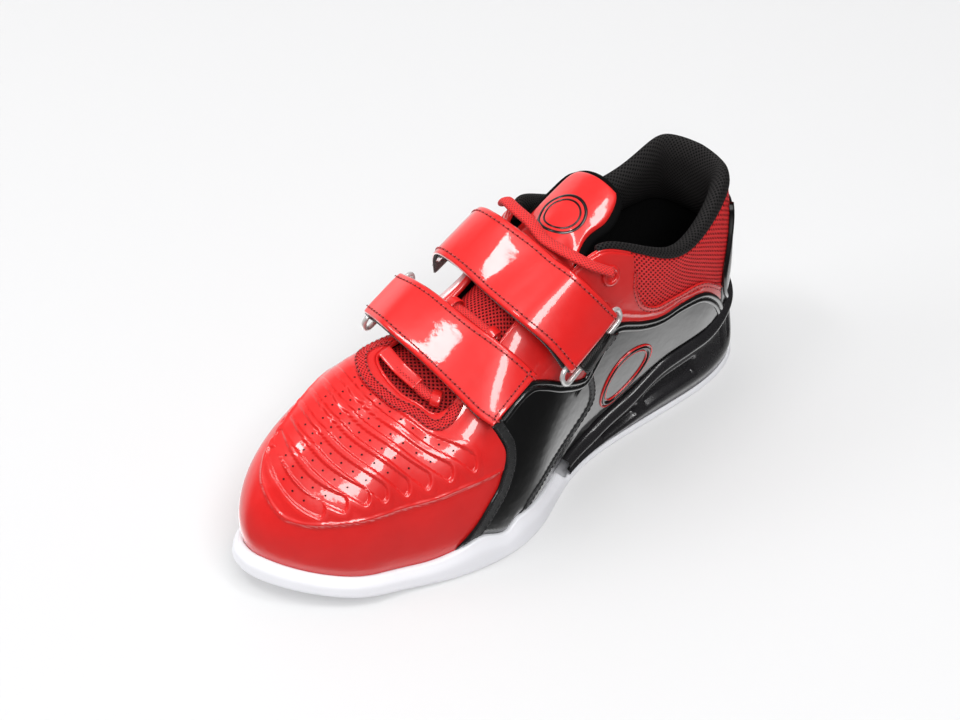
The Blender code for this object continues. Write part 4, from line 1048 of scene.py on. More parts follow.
def build_outsole():
    """Cup outsole: rounded foot, bevelled wall, crisp lip, thin base under the wedge."""
    s = even_loop(OUTSOLE_STATIONS)
    u = around("sole_along", s)
    rise = np.clip((u - CUP_START * LENGTH) / (CUP_END_RAMP * LENGTH), 0, 1)
    blend = ease(rise)[:, None]
    top, lift, out = cup_top(u), spring(u), outward(s)
    share = share_at_height(s, np.maximum(top, bed(u) + 2 * CLEARANCE))

    def side_ring(depth, inset):
        """The cup wall's ring at a depth in the upper, turning into the base's ring at an inset."""
        ring = upper_offset(s, share, depth)
        ring[:, 2] = top
        return ring * blend + edge(s, inset, BASE_THICKNESS + lift) * (1 - blend)

    rings = [edge(s, SOLE_INNER_INSET, lift + SOLE_INNER_LIFT), edge(s, CUP_CORNER * 1.6, lift)]
    for turn in np.linspace(0, math.pi / 2, 6):
        rings.append(edge(s, CUP_CORNER * (1 - math.sin(turn)), lift + CUP_CORNER * (1 - math.cos(turn))))
    low = edge(s, 0, lift + CUP_CORNER)
    high = side_ring(-(CURVED_CLEARANCE + CUP_WALL), 2 * CLEARANCE)
    for w in WALL_SHARES:
        bulge = BEVEL_BULGE * ease(w / BEVEL_SHARE) * ease((1 - w) / (1 - BEVEL_SHARE) * 1.1)
        rings.append(low * (1 - w) + high * w + out * bulge * blend)
    for turn in LIP_TURNS:
        ring = high - out * LIP_ROUND * (1 - math.cos(turn))
        ring[:, 2] = high[:, 2] - LIP_ROUND * (1 - math.sin(turn))
        rings.append(ring)
    inner = side_ring(-CURVED_CLEARANCE * 0.4, CUP_CORNER)
    rings += [(high - out * LIP_ROUND) * 0.3 + inner * 0.7, inner]
    deep = inner - out * 0.0004
    deep[:, 2] -= CUP_INNER_DEPTH * rise
    rings.append(deep)
    grid = np.stack(rings)
    faces = grid_faces(len(rings), len(s), closed_columns=True)
    faces.append(tuple(range(len(s))))
    uv = np.meshgrid(np.linspace(0, 0.72, len(s)), np.arange(len(rings)) * 0.0015)
    piece = make("outsole_cup", grid.reshape(-1, 3), faces, white_rubber, "white_rubber",
                 np.stack(uv, -1).reshape(-1, 2))
    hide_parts("outsole")


WINDOW_SOFT = 0.0016
WINDOW_LOW = 0.42
WINDOW_HIGH = 0.80
GROOVE_LOW = 0.50
GROOVE_HIGH = 0.97
GROOVE_STRENGTH = 0.8


def between(x, low, high, soft_low, soft_high):
    """1 between two places and 0 outside them, with soft edges."""
    return ease((x - low) / soft_low + 0.5) * ease((high - x) / soft_high + 0.5)


def window_mask(u, share):
    """1 inside the recessed windows and grooves of the wedge's side."""
    mask = np.zeros_like(u)
    for start, end in WINDOWS:
        window = between(u, start * LENGTH, end * LENGTH, WINDOW_SOFT, WINDOW_SOFT)
        mask = np.maximum(mask, window * between(share, WINDOW_LOW, WINDOW_HIGH, 0.10, 0.10))
    for place in GROOVES_ALONG:
        groove = ease(1.5 - abs(u - place * LENGTH) / (GROOVE_WIDTH * 0.5))
        groove = GROOVE_STRENGTH * groove * between(share, GROOVE_LOW, GROOVE_HIGH, 0.08, 0.06)
        mask = np.maximum(mask, groove)
    return mask


WEDGE_TIP_BACK = 0.0020
WEDGE_SPACING = 0.0008
LEDGE_PROFILE = ((0.0019, 0.01), (0.0012, 0.05), (0.0008, 0.14), (0.0007, 0.3), (0.0009, 0.5), (0.0013, 0.7),
                 (0.0019, 0.86), (0.0026, 0.95), (0.0034, 1.0))


def build_wedge():
    """Hard heel wedge: flared side with recessed windows under a rounded ledge."""
    tip = CUP_START * LENGTH - WEDGE_TIP_BACK
    fine = np.linspace(station_at(tip, medial=True) - COUNT, station_at(tip), 3000)
    s = evenly(fine[:, None], WEDGE_SPACING, edge(fine, 0, 0))[:, 0]
    u, out = around("sole_along", s), outward(s)
    under = BASE_THICKNESS + CLEARANCE
    top = ledge_top(u)
    band_height = np.minimum(LEDGE_BAND, (top - under) * 0.6)
    low_top = top - band_height
    rows = []
    for share in np.linspace(0, 1, 26):
        inset = 0.0012 - 0.0008 * ease(share / 0.2) + 0.0018 * ease((share - 0.2) / 0.8)
        ring = edge(s, inset, under + (low_top - under) * share)
        rows.append(ring - out * (window_mask(u, share) * WINDOW_DEPTH)[:, None])
    rows += [edge(s, inset, low_top + band_height * share) for inset, share in LEDGE_PROFILE]
    share = share_at_height(s, top)
    inner = upper_offset(s, share, -CURVED_CLEARANCE)
    inner[:, 2] = top
    rows.append(rows[-1] * 0.3 + inner * 0.7)
    inner[:, 2] = top - 0.0006
    rows += [inner, upper_offset(s, share * 0.7, -CURVED_CLEARANCE * 0.6)]
    piece = grid_piece("heel_wedge_moulding", np.stack(rows), black_tpu, "black_tpu", recalc=False)
    face_outward(piece)
    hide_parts("heel_wedge")


build_outsole()
build_wedge()


# Upper
SKIN_LIFT = 0.00005
SKIN_TOP = 0.985
SKIN_EVEN_ROW = 55


def build_skin():
    """Knit skin round the whole upper, with the lining inside."""
    s = even_loop(420)
    outer = [lifted(s, t, SKIN_LIFT) for t in np.linspace(0.0, SKIN_TOP, 70)]
    rim, normal, rising = rim_frame(s)
    roll = WALL / 2
    over = [rim - normal * roll * (1 - math.cos(a)) + rising * roll * 0.6 * (math.sin(a) - 0.5)
            for a in np.linspace(0.3, math.pi - 0.3, 6)]
    piece = grid_piece("upper_skin", np.stack(outer + over), knit, "red_patent", closed_columns=True,
                       even_row=SKIN_EVEN_ROW)
    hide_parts("upper")
    inner = [over[-1]] + [upper_offset(s, t, WALL) for t in np.linspace(SKIN_TOP, 0.02, 50)]
    grid_piece("upper_lining", np.stack(inner), lining, "black_lining", closed_columns=True)


build_skin()

CHANNELS = (
    # apex along, curve, lateral tip across, medial tip across, holes; in millimetres
    (218.0, 0.0080, 34.5, -44.0, 11),
    (227.0, 0.0085, 30.6, -43.0, 9),
    (234.8, 0.0090, 26.5, -41.0, 9),
    (242.0, 0.0095, 22.3, -39.0, 7),
    (249.8, 0.0100, 18.2, -36.5, 7),
    (257.0, 0.0130, 14.4, -34.0, 5),
    (264.5, 0.0170, 9.4, -31.0, 5),
    (270.3, 0.0230, 3.5, -27.0, 3),
)
CHANNEL_AXIS = -11.0
CHANNEL_HALF = 0.0024
CHANNEL_DEPTH = 0.00085
CHANNEL_BEVEL = 0.0009
LAND_RISE = 0.00035
LAND_REACH = 0.0058
LAND_FALL = 0.0022
LAND_EDGE = 0.0006
FADE_START = -0.042
FADE_WIDTH = 0.018


def channel_distance(points, row):
    """Distance in plan from points to a channel's centre line."""
    apex, curve, tip, far, _ = row
    u, v = points[..., 0] * 1000, points[..., 1] * 1000
    at = np.clip(v, far, tip)
    for _ in range(6):
        miss = u - (apex - curve * (at - CHANNEL_AXIS) ** 2)
        slope = -2 * curve * (at - CHANNEL_AXIS)
        change = ((v - at) + miss * slope) / (1 + slope ** 2 + miss * 2 * curve)
        at = np.clip(at + 0.8 * change, far, tip)
    miss = u - (apex - curve * (at - CHANNEL_AXIS) ** 2)
    return np.hypot(v - at, miss) / 1000


RIDGE_LINE = ((9.96, .41), (10.68, .44), (11.40, .42), (12.14, .385), (12.80, .355), (13.24, .325),
              (13.50, .305), (13.80, .305), (14.06, .335), (14.32, .375), (14.62, .42), (14.85, .47),
              (15.06, .53), (15.3, .60), (15.8, .66), (16.6, .68), (17.4, .66))
RIDGE_HEIGHT = 0.0010
RIDGE_DROP = 0.0007
RIDGE_WIDTH = 0.0022
RIDGE_BEAD = 0.0004
RIDGE_HALF = 0.0008


def vamp_relief(points, s, t):
    """Embossed channels with raised lands, inside a ridge round the toe."""
    channel = np.min([channel_distance(points, row) for row in CHANNELS], axis=0)
    fade = ease((points[..., 1] - FADE_START) / FADE_WIDTH)
    height = -CHANNEL_DEPTH * fade * ease((CHANNEL_HALF - channel) / CHANNEL_BEVEL + 0.5)
    land = ease((LAND_REACH - channel) / LAND_FALL) * ease((channel - CHANNEL_HALF) / LAND_EDGE + 0.5)
    height += LAND_RISE * land * fade
    ridge_s, ridge_t = on_upper(RIDGE_LINE, 0.0008)
    distance = nearest(points, upper_face(ridge_s, ridge_t))
    distance *= np.where(t > np.interp(s, ridge_s, ridge_t), 1.0, -1.0)
    height += RIDGE_HEIGHT * ease(distance / RIDGE_WIDTH + 0.5) - RIDGE_DROP
    return height + RIDGE_BEAD * np.exp(-((distance - RIDGE_WIDTH * 0.5) / RIDGE_HALF) ** 2)


RIM_SHARE = 0.992
FOOT_RISE = -0.0012
WING_FOOT = 10.86
WING = ((9.98, .67), (9.88, .59), (9.78, .49), (9.86, .41), (10.0, .34), (10.2, .28), (10.48, .18),
        (10.78, .09))
QUARTER_TOP = ((9.76, .66), (9.38, .67), (8.96, .65), (8.46, .58), (7.8, .49), (6.84, .39), (6.5, .42),
               (6.18, .49), (5.92, .55), (5.64, .57), (5.1, .55), (4.56, .54), (4.02, .56), (3.46, .52),
               (2.96, .37), (2.46, .14))
SEAM_STRIP = ((6.62, .41), (6.38, .30), (6.35, .22), (6.52, .18), (6.86, .15), (7.40, .13), (8.28, .13),
              (9.05, .12), (9.45, .06))
KNIT_EDGE = ((5.34, 1.0), (5.34, .88), (5.34, .78), (5.16, .68), (4.74, .64), (4.20, .66), (3.50, .63),
             (2.76, .43), (2.50, .20))
WING_BAND_INSET = 0.0032
PIPING = ((2.0, 0.93), (2.0, .86), (2.34, .73), (2.6, .55), (2.5, .35), (2.1, .20), (1.92, .14))


def foot_pair(s):
    """The pair at station s along the cup's or ledge's top."""
    return s, float(foot_share(s, FOOT_RISE)[0])


def foot_line(start, end, count):
    """Pairs along the cup's or ledge's top, from station start to end."""
    s = np.linspace(start, end, count)
    return list(zip(s, foot_share(s, FOOT_RISE)))


def rim_line(start, end, count):
    return [(s, RIM_SHARE) for s in np.linspace(start, end, count)]


def build_vamp():
    """Red patent vamp from wing to wing round the toe, embossed."""
    back, front = 9.55, WING[-1][0] - 0.35
    left = [(back, RIM_SHARE), (back, .80), (9.50, .62), (9.45, .45), (9.70, .30), (10.1, .16),
            foot_pair(front)]
    sides = [left, foot_line(front, COUNT - front, 60), mirrored(reversed(left)),
             rim_line(COUNT - back, back, 40)]
    panel("vamp", sides, 0.0, 0.0009, red_patent, "red_patent", 0.00080, vamp_relief)


STRIPE_OFFSETS = (0.035, 0.075)
STRIPE_RIDGE = 0.00045
STRIPE_HALF = 0.0009


def stripe_relief(points, s, t):
    """Two soft ridges that sweep along the stripe to the heel."""
    height = np.zeros(len(points))
    for offset in STRIPE_OFFSETS:
        line = [(a, b + offset) for a, b in QUARTER_TOP[9:14]]
        for _, turn in SIDES:
            ridge = upper_face(*on_upper(turn(line), 0.0008))
            height += STRIPE_RIDGE * np.exp(-(nearest(points, ridge) / STRIPE_HALF) ** 2)
    return height


def build_upper_quarters():
    """Red patent upper quarters with the eyestays and the stripe to the heel, on both sides."""
    back, front = KNIT_EDGE[0][0], 9.85
    knit_edge = [(back, RIM_SHARE), *KNIT_EDGE[1:]]
    under = [(2.50, .20), (2.75, .22), (3.1, .30), (3.5, .44), (4.1, .49), (5.0, .48), (5.7, .49), (6.3, .38),
             (6.9, .33), (7.8, .42), (8.6, .54), (9.3, .60), (9.75, .60)]
    sides = [knit_edge, under, [(9.75, .60), (front, .75), (front, RIM_SHARE)], rim_line(front, back, 30)]
    for name, turn in SIDES:
        panel("upper_quarter_" + name, [turn(side) for side in sides], 0.0003, 0.0009, red_patent,
              "red_patent", 0.0012, stripe_relief)


def build_quarters():
    """Black patent quarters: wing and saddle, on both sides."""
    back = 2.40
    foot = foot_line(WING_FOOT, back, 50)
    top = [foot[-1], *reversed(QUARTER_TOP[:-1]), WING[0]]
    for name, turn in SIDES:
        sides = [turn(side) for side in ([*WING, foot[0]], foot, top)]
        piece = panel("quarter_panel_" + name, sides, 0.0009, 0.0009, black_patent, "black_patent", 0.0012)
        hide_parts("quarter_" + name)


def build_counter():
    """Black patent heel counter."""
    front = 2.48
    top = [(-2.0, 0.90), (-1.0, 0.92), (0.0, 0.93), (1.0, 0.92), (2.0, 0.90)]
    side = [(2.0, 0.90), (2.34, .74), (2.62, .55), (2.62, .40), (2.52, .25), foot_pair(front)]
    sides = [side, foot_line(front, -front, 40), [(-a, b) for a, b in reversed(side)], top]
    piece = panel("heel_counter_panel", sides, 0.0003, 0.0010, black_patent, "black_patent", 0.0012)
    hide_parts("heel_counter")


build_vamp()
build_upper_quarters()
build_quarters()
build_counter()


def build_trims():
    """Bands, strips, piping and their stitching."""
    inner = list(zip(*shifted(*on_upper(WING + ((WING_FOOT, 0.07),)), WING_BAND_INSET)))[::6]
    knit_border = KNIT_EDGE[1:-1]
    for name, turn in SIDES:
        band("wing_band_" + name, turn(inner), 0.0052, 0.0018, 0.0004, band_black, "black_patent")
        for offset in (-0.0019, 0.0019):
            stitch_line(turn(inner), offset, 0.0023, black_thread)
        band("saddle_band_" + name, turn(QUARTER_TOP), 0.0056, 0.0015, 0.0004, black_patent, "black_patent",
             columns=25, ribs=0.0007)
        stitch_line(turn(QUARTER_TOP), 0.0, 0.0020, black_thread)
        band("saddle_seam_" + name, turn(SEAM_STRIP), 0.0045, 0.0018, 0.0004, band_black, "black_patent")
        for offset in (-0.0014, 0.0014):
            stitch_line(turn(SEAM_STRIP), offset, 0.0023, black_thread)
        band("knit_border_" + name, turn(knit_border), 0.0030, 0.0010, 0.0003, red_patent, "red_patent")
        for offset in (-0.0009, 0.0009):
            stitch_line(turn(knit_border), offset, 0.0014, red_thread)
        band("heel_piping_" + name, turn(PIPING), 0.0024, 0.0012, 0.0010, black_patent, "black_patent",
             crown=0.0004)


build_trims()


def build_throat():
    """Textured band round the throat's toe end, its stitching and the rolled lip."""
    outer = [(10.52, .955), (10.7, .915), (11.0, .90), (11.80, .93), (12.94, .945), (14.0, .95),
             (15.06, .945), (16.2, .93), (17.0, .90), (17.3, .915), (17.48, .955)]
    band("throat_band", outer, 0.0060, 0.0013, 0.0005, band_red, "red_patent", columns=13)
    for offset in (-0.0022, 0.0022):
        stitch_line(outer, offset, 0.0019, red_thread, pitch=0.0025, length=0.0017, radius=WIDE_STITCH)
    rim, normal, rising = rim_frame(np.linspace(5.4, COUNT - 5.4, 420))
    grid = sweep(rim - normal * WALL * 0.35 - rising * 0.0002, normal, oval(0.0010, 0.0013, 12))
    grid_piece("rim_lip", grid, red_patent, "red_patent", closed_columns=True)


build_throat()


PERFORATION_SIDES = 12
PERFORATION_RINGS = ((0.00034, 0.0), (0.00048, 0.00006))
PERFORATION_PITCH = 5.8
PERFORATION_LIFT = 0.0009 + RIDGE_HEIGHT - RIDGE_DROP - CHANNEL_DEPTH + 0.00010


def perforation_places():
    """Places in plan, in metres, of the holes along each channel."""
    for apex, curve, tip, far, holes in CHANNELS:
        for number in range(holes):
            v = tip - 6.5 - PERFORATION_PITCH * number
            if v >= far + 4:
                yield np.array([apex - curve * (v - CHANNEL_AXIS) ** 2, v]) / 1000


def build_perforations():
    """Small punched holes along each channel, each drawn as a dark disc: painted shade in the hole."""
    points, faces = [], []
    sides = PERFORATION_SIDES
    fine_s, fine_t = even_grid(9.6, COUNT - 9.6, 0.3, 0.98, 0.0016)
    cloud = upper_face(fine_s, fine_t)
    for target in perforation_places():
        i = int(((cloud[:, :2] - target) ** 2).sum(1).argmin())
        s, t = solve_plan(fine_s[i], fine_t[i], target)
        centre, normal = lifted(s, t, PERFORATION_LIFT)[0], upper_normal(s, t)[0]
        first, second = tangents(normal, [0, 1.0, 0])
        start = len(points) * (2 * sides + 1)
        rings = [circle(centre + normal * rise, first, second, radius, radius, sides)
                 for radius, rise in PERFORATION_RINGS]
        points.append(np.concatenate([[centre - normal * 0.0001], *rings]))
        for a in range(start + 1, start + 1 + sides):
            b = a + 1 if a < start + sides else start + 1
            faces += [(start, a, b), (a, a + sides, b + sides, b)]
    points = np.concatenate(points)
    make("vamp_perforations", points, faces, perforation_shade, "red_patent", points[:, :2], recalc=False)


def solve_plan(s, t, target):
    """Station and share of the upper's face over a place in plan."""
    s, t = np.array([s]), np.array([t])
    for _ in range(12):
        miss = target - upper_face(s, t)[0, :2]
        ds, dt = upper_slopes(s, t)
        step = np.linalg.lstsq(np.stack([ds[0, :2], dt[0, :2]], 1), miss, rcond=None)[0]
        s, t = s + np.clip(step[0], -0.2, 0.2), t + np.clip(step[1], -0.05, 0.05)
    return s, t


build_perforations()


# Collar padding
def below_rim(s, drop):
    """The share t at a distance below the rim."""
    e = 0.02
    return 1 - drop / (np.linalg.norm(upper_face(s, 1.0) - upper_face(s, 1 - e), axis=-1) / e)


def closed_through(rows, count):
    """Closed smooth line through rows of points, resampled."""
    rows = np.stack(rows)
    n = len(rows)
    places = np.arange(count) * n / count
    i = np.floor(places).astype(int)
    return catmull_rom(rows[(i - 1) % n], rows[i % n], rows[(i + 1) % n], rows[(i + 2) % n],
                       (places - i)[:, None, None])


def build_padding():
    """Padded collar: a rolled section carried round the ankle opening."""
    reach = PAD_STATIONS[-1]
    s = np.linspace(-reach, reach, 240)
    rise = along_table(np.abs(s), PAD_STATIONS, PAD_RISE_SHARE) * PAD_RISE
    depth = along_table(np.abs(s), PAD_STATIONS, PAD_DEPTH_SHARE) * PAD_THICKNESS
    rim, normal, rising = rim_frame(s)
    back = WALL + CURVED_CLEARANCE
    rows = []
    for up, inward in PAD_SECTION:
        thick = np.maximum(inward * depth, back + 0.0008) if up < 0.5 and inward > 0.1 else inward * depth
        if up > 0:
            rows.append(rim + rising * np.maximum(up * rise, CLEARANCE)[:, None] - normal * thick[:, None])
        else:
            rows.append(upper_offset(s, below_rim(s, -up * rise), thick))
    rows += [upper_offset(s, below_rim(s, down * rise), back) for down in (2.6, 1.2)]
    rows.append(rim + rising * CLEARANCE - normal * back)
    grid = closed_through(rows, 56).transpose(1, 0, 2)
    piece = grid_piece("collar_pad", grid, spacer, "black_mesh", closed_columns=True, caps=True)
    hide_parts("collar_padding")


INSOLE_RINGS = ((0.0, CURVED_CLEARANCE), (0.0, 0.0018), (0.0004, 0.0026), (0.0012, 0.003), (0.006, 0.0030),
                (0.018, 0.0026), (0.030, 0.0024))


def build_insole():
    """Foot bed with a rounded edge, dished toward its middle."""
    s = even_loop(360)
    rings = []
    for inset, level in INSOLE_RINGS:
        ring = edge(s, FEATHER_INSET + WALL + 0.0012 + inset, 0)
        ring[:, 2] = bed(ring[:, 0]) + level
        rings.append(ring)
    points = np.concatenate(rings)
    faces = grid_faces(len(rings), len(s), closed_columns=True)
    last, end = len(points) - len(s), len(points) - 1
    faces += [(last + i, last + i + 1, end - 1 - i, end - i) for i in range(len(s) // 2 - 1)]
    piece = make("insole_top", points, faces, footbed, "black_lining", points[:, :2])
    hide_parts("insole")


build_padding()
build_insole()


# Tongue
def tongue_face(count):
    clear = WALL + 8 * CLEARANCE
    rows = []
    for lateral, medial, lift, low in THROAT_ROWS:
        stations = np.array([medial, medial, lateral, lateral])
        shares = np.array([low, 0.98, 0.98, low])
        points = upper_offset(stations, shares, np.full(4, clear))
        crown = [points[1] * (1 - f) + points[2] * f + np.array([0, 0, lift * share / 1000])
                 for f, share in TONGUE_CROWN]
        rows.append(through([points[0], points[1], *crown, points[2], points[3]], count))
    rows.insert(0, rows[0] + np.array([TONGUE_TOE_TUCK, 0, -0.006]))
    for place, centre, height, half, drop in TONGUE_FREE:
        across = np.linspace(-1, 1, count)
        rows.append(np.stack([np.full(count, place / 100 * LENGTH),
                              (centre + half * across) / 100 * BALL_HALF_WIDTH,
                              (height - drop * across ** 2) / 100 * COLLAR_HEIGHT], -1))
    return np.stack(rows)


TONGUE_ROWS = 101
TONGUE_COLUMNS = 49


def tongue_grid():
    coarse = tongue_face(TONGUE_COLUMNS)
    outer = np.stack([through(coarse[:, c], TONGUE_ROWS) for c in range(coarse.shape[1])], 1)
    normal = unit(np.cross(np.gradient(outer, axis=1), np.gradient(outer, axis=0)))
    return outer, normal * np.where(normal[..., 2:] < 0, -1, 1)


TONGUE_FREE_START = 0.53
COVER_INSET = 3
COVER_RISE = 0.0011
BADGE_ROW = 0.705
BADGE_LIFT = 0.0012
BADGE_RINGS = (("outer", 0.0112, 0.0008), ("inner", 0.0086, 0.0005))


def build_tongue_pad(outer, normal):
    rows, columns = outer.shape[:2]
    puff = (1 - np.linspace(-1, 1, columns) ** 4)[None] * ease(np.linspace(1, 0, rows) / 0.06)[:, None]
    top = outer - normal * (0.0006 * (1 - puff))[..., None]
    bottom = outer - normal * (TONGUE_THICKNESS * (0.30 + 0.70 * puff))[..., None]
    piece = grid_piece("tongue_pad", np.concatenate([top, bottom[:, ::-1]], 1), coarse_mesh, "red_cloth",
                       closed_columns=True, caps=True, even_row=TONGUE_ROWS // 3)
    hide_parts("tongue")


def build_tongue_cover(outer, normal):
    """Patent cover over the free part, with a rounded edge."""
    part = (slice(int(TONGUE_FREE_START * TONGUE_ROWS), -1), slice(COVER_INSET, -COVER_INSET))
    cover = outer[part]
    down, across = [np.minimum(np.arange(n), np.arange(n)[::-1]) for n in cover.shape[:2]]
    rise = COVER_RISE * dome(1 - np.clip(np.minimum.outer(down, across) / 2.5, 0, 1))
    grid_piece("tongue_cover", cover + normal[part] * (0.0001 + rise)[..., None], red_patent, "red_cloth")


def build_tongue_binding(outer, normal):
    """Black binding round the free edge."""
    start = int(TONGUE_FREE_START * TONGUE_ROWS)
    border, ups = [np.concatenate([grid[start:, 1], grid[-1, 2:-2], grid[start:, -2][::-1]])
                   for grid in (outer, normal)]
    middle = border - ups * TONGUE_THICKNESS * 0.18
    grid = sweep(evenly(middle, 0.001), unit(evenly(ups, 0.001, middle)), oval(0.0022, 0.0019, 14, 2.3))
    grid_piece("tongue_binding", grid, lining, "black_lining", closed_columns=True, caps=True)


def build_badge(outer, normal):
    """Two plain rings where the photograph has a badge."""
    place = (int(BADGE_ROW * TONGUE_ROWS), TONGUE_COLUMNS // 2)
    centre, up = outer[place], normal[place]
    first, second = tangents(up, [0, 1.0, 0])
    for name, radius, wide in BADGE_RINGS:
        path = drop_on(circle(centre, first, second, radius, radius, 48), outer, normal) + up * BADGE_LIFT
        grid = sweep(path, up, oval(wide, 0.0004, 8), closed=True)
        grid_piece("tongue_badge_" + name, grid, black_patent, "red_cloth", closed_rows=True,
                   closed_columns=True)


def drop_on(points, grid, normals):
    """Points moved to the nearest place of a grid's surface, along its normal."""
    flat = grid.reshape(-1, 3)
    flat_normals = normals.reshape(-1, 3)
    result = []
    for point in points:
        i = int(((flat - point) ** 2).sum(1).argmin())
        result.append(point - flat_normals[i] * ((point - flat[i]) @ flat_normals[i]))
    return np.array(result)


TONGUE = tongue_grid()
build_tongue_pad(*TONGUE)
build_tongue_cover(*TONGUE)
build_tongue_binding(*TONGUE)
build_badge(*TONGUE)


# Straps, rings and tabs
def strap_edges(table):
    """Front and rear edge points of a strap's table."""
    values = np.array(table)
    return values[:, :3] * ROW_SCALE, values[:, 3:] * ROW_SCALE


STRAP_SAMPLES = 90
STRAP_RETURN = 9
FOLD_START = 0.72
RING_ROOM = 2 * (RING_WIRE + CLEARANCE)


def folded(front, rear):
    """Edge lines of a strap that runs to its ring, folds round it and comes back under itself.

    Also the middle of the ring's bar, the way on to it and the way across it."""
    front, rear = through(front, STRAP_SAMPLES), through(rear, STRAP_SAMPLES)
    step = unit(np.gradient((front + rear) / 2, axis=0))
    inward = unit(np.cross(unit(rear - front), step))
    inward *= np.where(inward[:, 2:] > 0, -1, 1)
    inward[-1] = inward[-2]
    f = np.linspace(0, 1, STRAP_SAMPLES)
    opening = np.clip((f - FOLD_START) / (1 - FOLD_START), 0, 1) ** 2
    shift = inward * (STRAP_THICKNESS + STRAP_LAYER_GAP + (RING_ROOM - STRAP_LAYER_GAP) * opening)[:, None]
    radius = (STRAP_THICKNESS + RING_ROOM) / 2
    turns = np.linspace(0, math.pi, 13)[1:-1, None]
    fold = inward[-1] * radius * (1 - np.cos(turns)) + step[-1] * radius * np.sin(turns)
    back = slice(STRAP_SAMPLES - 1, STRAP_RETURN, -1)
    front_line, rear_line = [np.concatenate([line, line[-1] + fold, (line + shift)[back]])
                             for line in (front, rear)]
    bar = (front[-1] + rear[-1]) / 2 + inward[-1] * radius
    return front_line, rear_line, bar, step[-1], rear[-1] - front[-1]


STRAP_COLUMNS = 26
STRAP_EDGE_ROUND = 0.0011
STRAP_CROWN = 0.0004


def strap_body(name, front, rear):
    """A strap with rounded edges and a soft crown: patent outside, fleece inside. Also its normals."""
    wide = rear - front
    width = np.linalg.norm(wide, axis=1)[:, None]
    normal = unit(np.cross(unit(wide), unit(np.gradient((front + rear) / 2, axis=0))))
    if normal[len(normal) // 4][2] < 0:
        normal = -normal
    turns, even = np.linspace(0, math.pi, STRAP_COLUMNS), np.linspace(0, 1, STRAP_COLUMNS)
    top, bottom = [], []
    for place in (1 - np.cos(turns)) / 4 + even / 2:
        near = np.minimum(place, 1 - place) * width / STRAP_EDGE_ROUND
        half = STRAP_THICKNESS / 2 * dome(1 - np.clip(near, 0, 1))
        middle = front + wide * place
        top.append(middle + normal * (half + STRAP_CROWN * (1 - (2 * place - 1) ** 4)))
        bottom.append(middle - normal * half)
    loop = np.stack(top + bottom[::-1][1:-1], 1)
    rows, count = loop.shape[:2]
    face_finish = [0 if c < STRAP_COLUMNS - 1 else 1 for _ in range(rows - 1) for c in range(count)] + [1, 1]
    piece = grid_piece(name, loop, [strap_patent, fleece], "red_strap", closed_columns=True, caps=True,
                       face_finish=face_finish)
    return piece, normal


RING_CORNER = RING_DEPTH * 0.42


def ring_line(bar, down, across, width, count=9):
    """Rounded rectangle round the strap's fold."""
    half = width / 2 + RING_OVERHANG
    centre = bar + down * RING_DEPTH / 2
    points = []
    for quarter, (sx, sy) in enumerate(((1, 1), (-1, 1), (-1, -1), (1, -1))):
        for turn in np.linspace(0, math.pi / 2, count) + quarter * math.pi / 2:
            points.append(centre + across * (sx * (half - RING_CORNER) + RING_CORNER * math.cos(turn))
                          + down * (sy * (RING_DEPTH / 2 - RING_CORNER) + RING_CORNER * math.sin(turn)))
    return np.array(points)


STRAP_STITCH_INSET = 0.0030
STRAP_STITCH_LIFT = STRAP_THICKNESS / 2 + 0.00035
END_STITCH_ROW = 3


def build_strap(name, table, anchor):
    """One strap, its stitching, its ring and the tab that holds the ring at an anchor on the upper."""
    front, rear, bar, down, across = folded(*strap_edges(table))
    width = float(np.linalg.norm(across))
    across = unit(across)
    piece, normal = strap_body("strap_body_" + name, front, rear)
    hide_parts("strap_" + name)
    # Stitching inside both edges of the outer layer, and across the free end
    wide, ups = (rear - front)[:STRAP_SAMPLES], normal[:STRAP_SAMPLES]
    share = STRAP_STITCH_INSET / np.linalg.norm(wide, axis=1)[:, None]
    for place in (share, 1 - share):
        line = front[:STRAP_SAMPLES] + wide * place
        stitch_points(line + ups * STRAP_STITCH_LIFT, ups, red_thread, radius=WIDE_STITCH)
    row = END_STITCH_ROW
    end_line = front[row] + wide[row] * np.linspace(0.09, 0.91, 20)[:, None]
    stitch_points(end_line + ups[row] * STRAP_STITCH_LIFT, np.repeat(ups[row][None], 20, 0), red_thread,
                  radius=WIDE_STITCH)
    station, height = np.array(anchor)[:, None]
    seat, seat_normal = upper_offset(station, height, -TAB_SEAT)[0], upper_normal(station, height)[0]
    direction = unit(0.5 * down + unit(seat - bar))
    direction = unit(direction - across * direction.dot(across))
    grid = sweep(ring_line(bar, direction, across, width), np.cross(across, direction),
                 oval(RING_WIRE, RING_WIRE, 14), closed=True)
    ring = grid_piece("ring_wire_" + name, grid, steel, "steel_wire", closed_rows=True, closed_columns=True)
    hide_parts("ring_" + name)
    build_tab(name, bar + direction * RING_DEPTH, direction, across, width, seat, seat_normal)


TAB_STEP = 0.0005
TAB_PRESS = 0.0016
TAB_SMOOTHING = 3
TAB_HALF_SHARE = 0.29
TAB_STITCH_ROW = 5


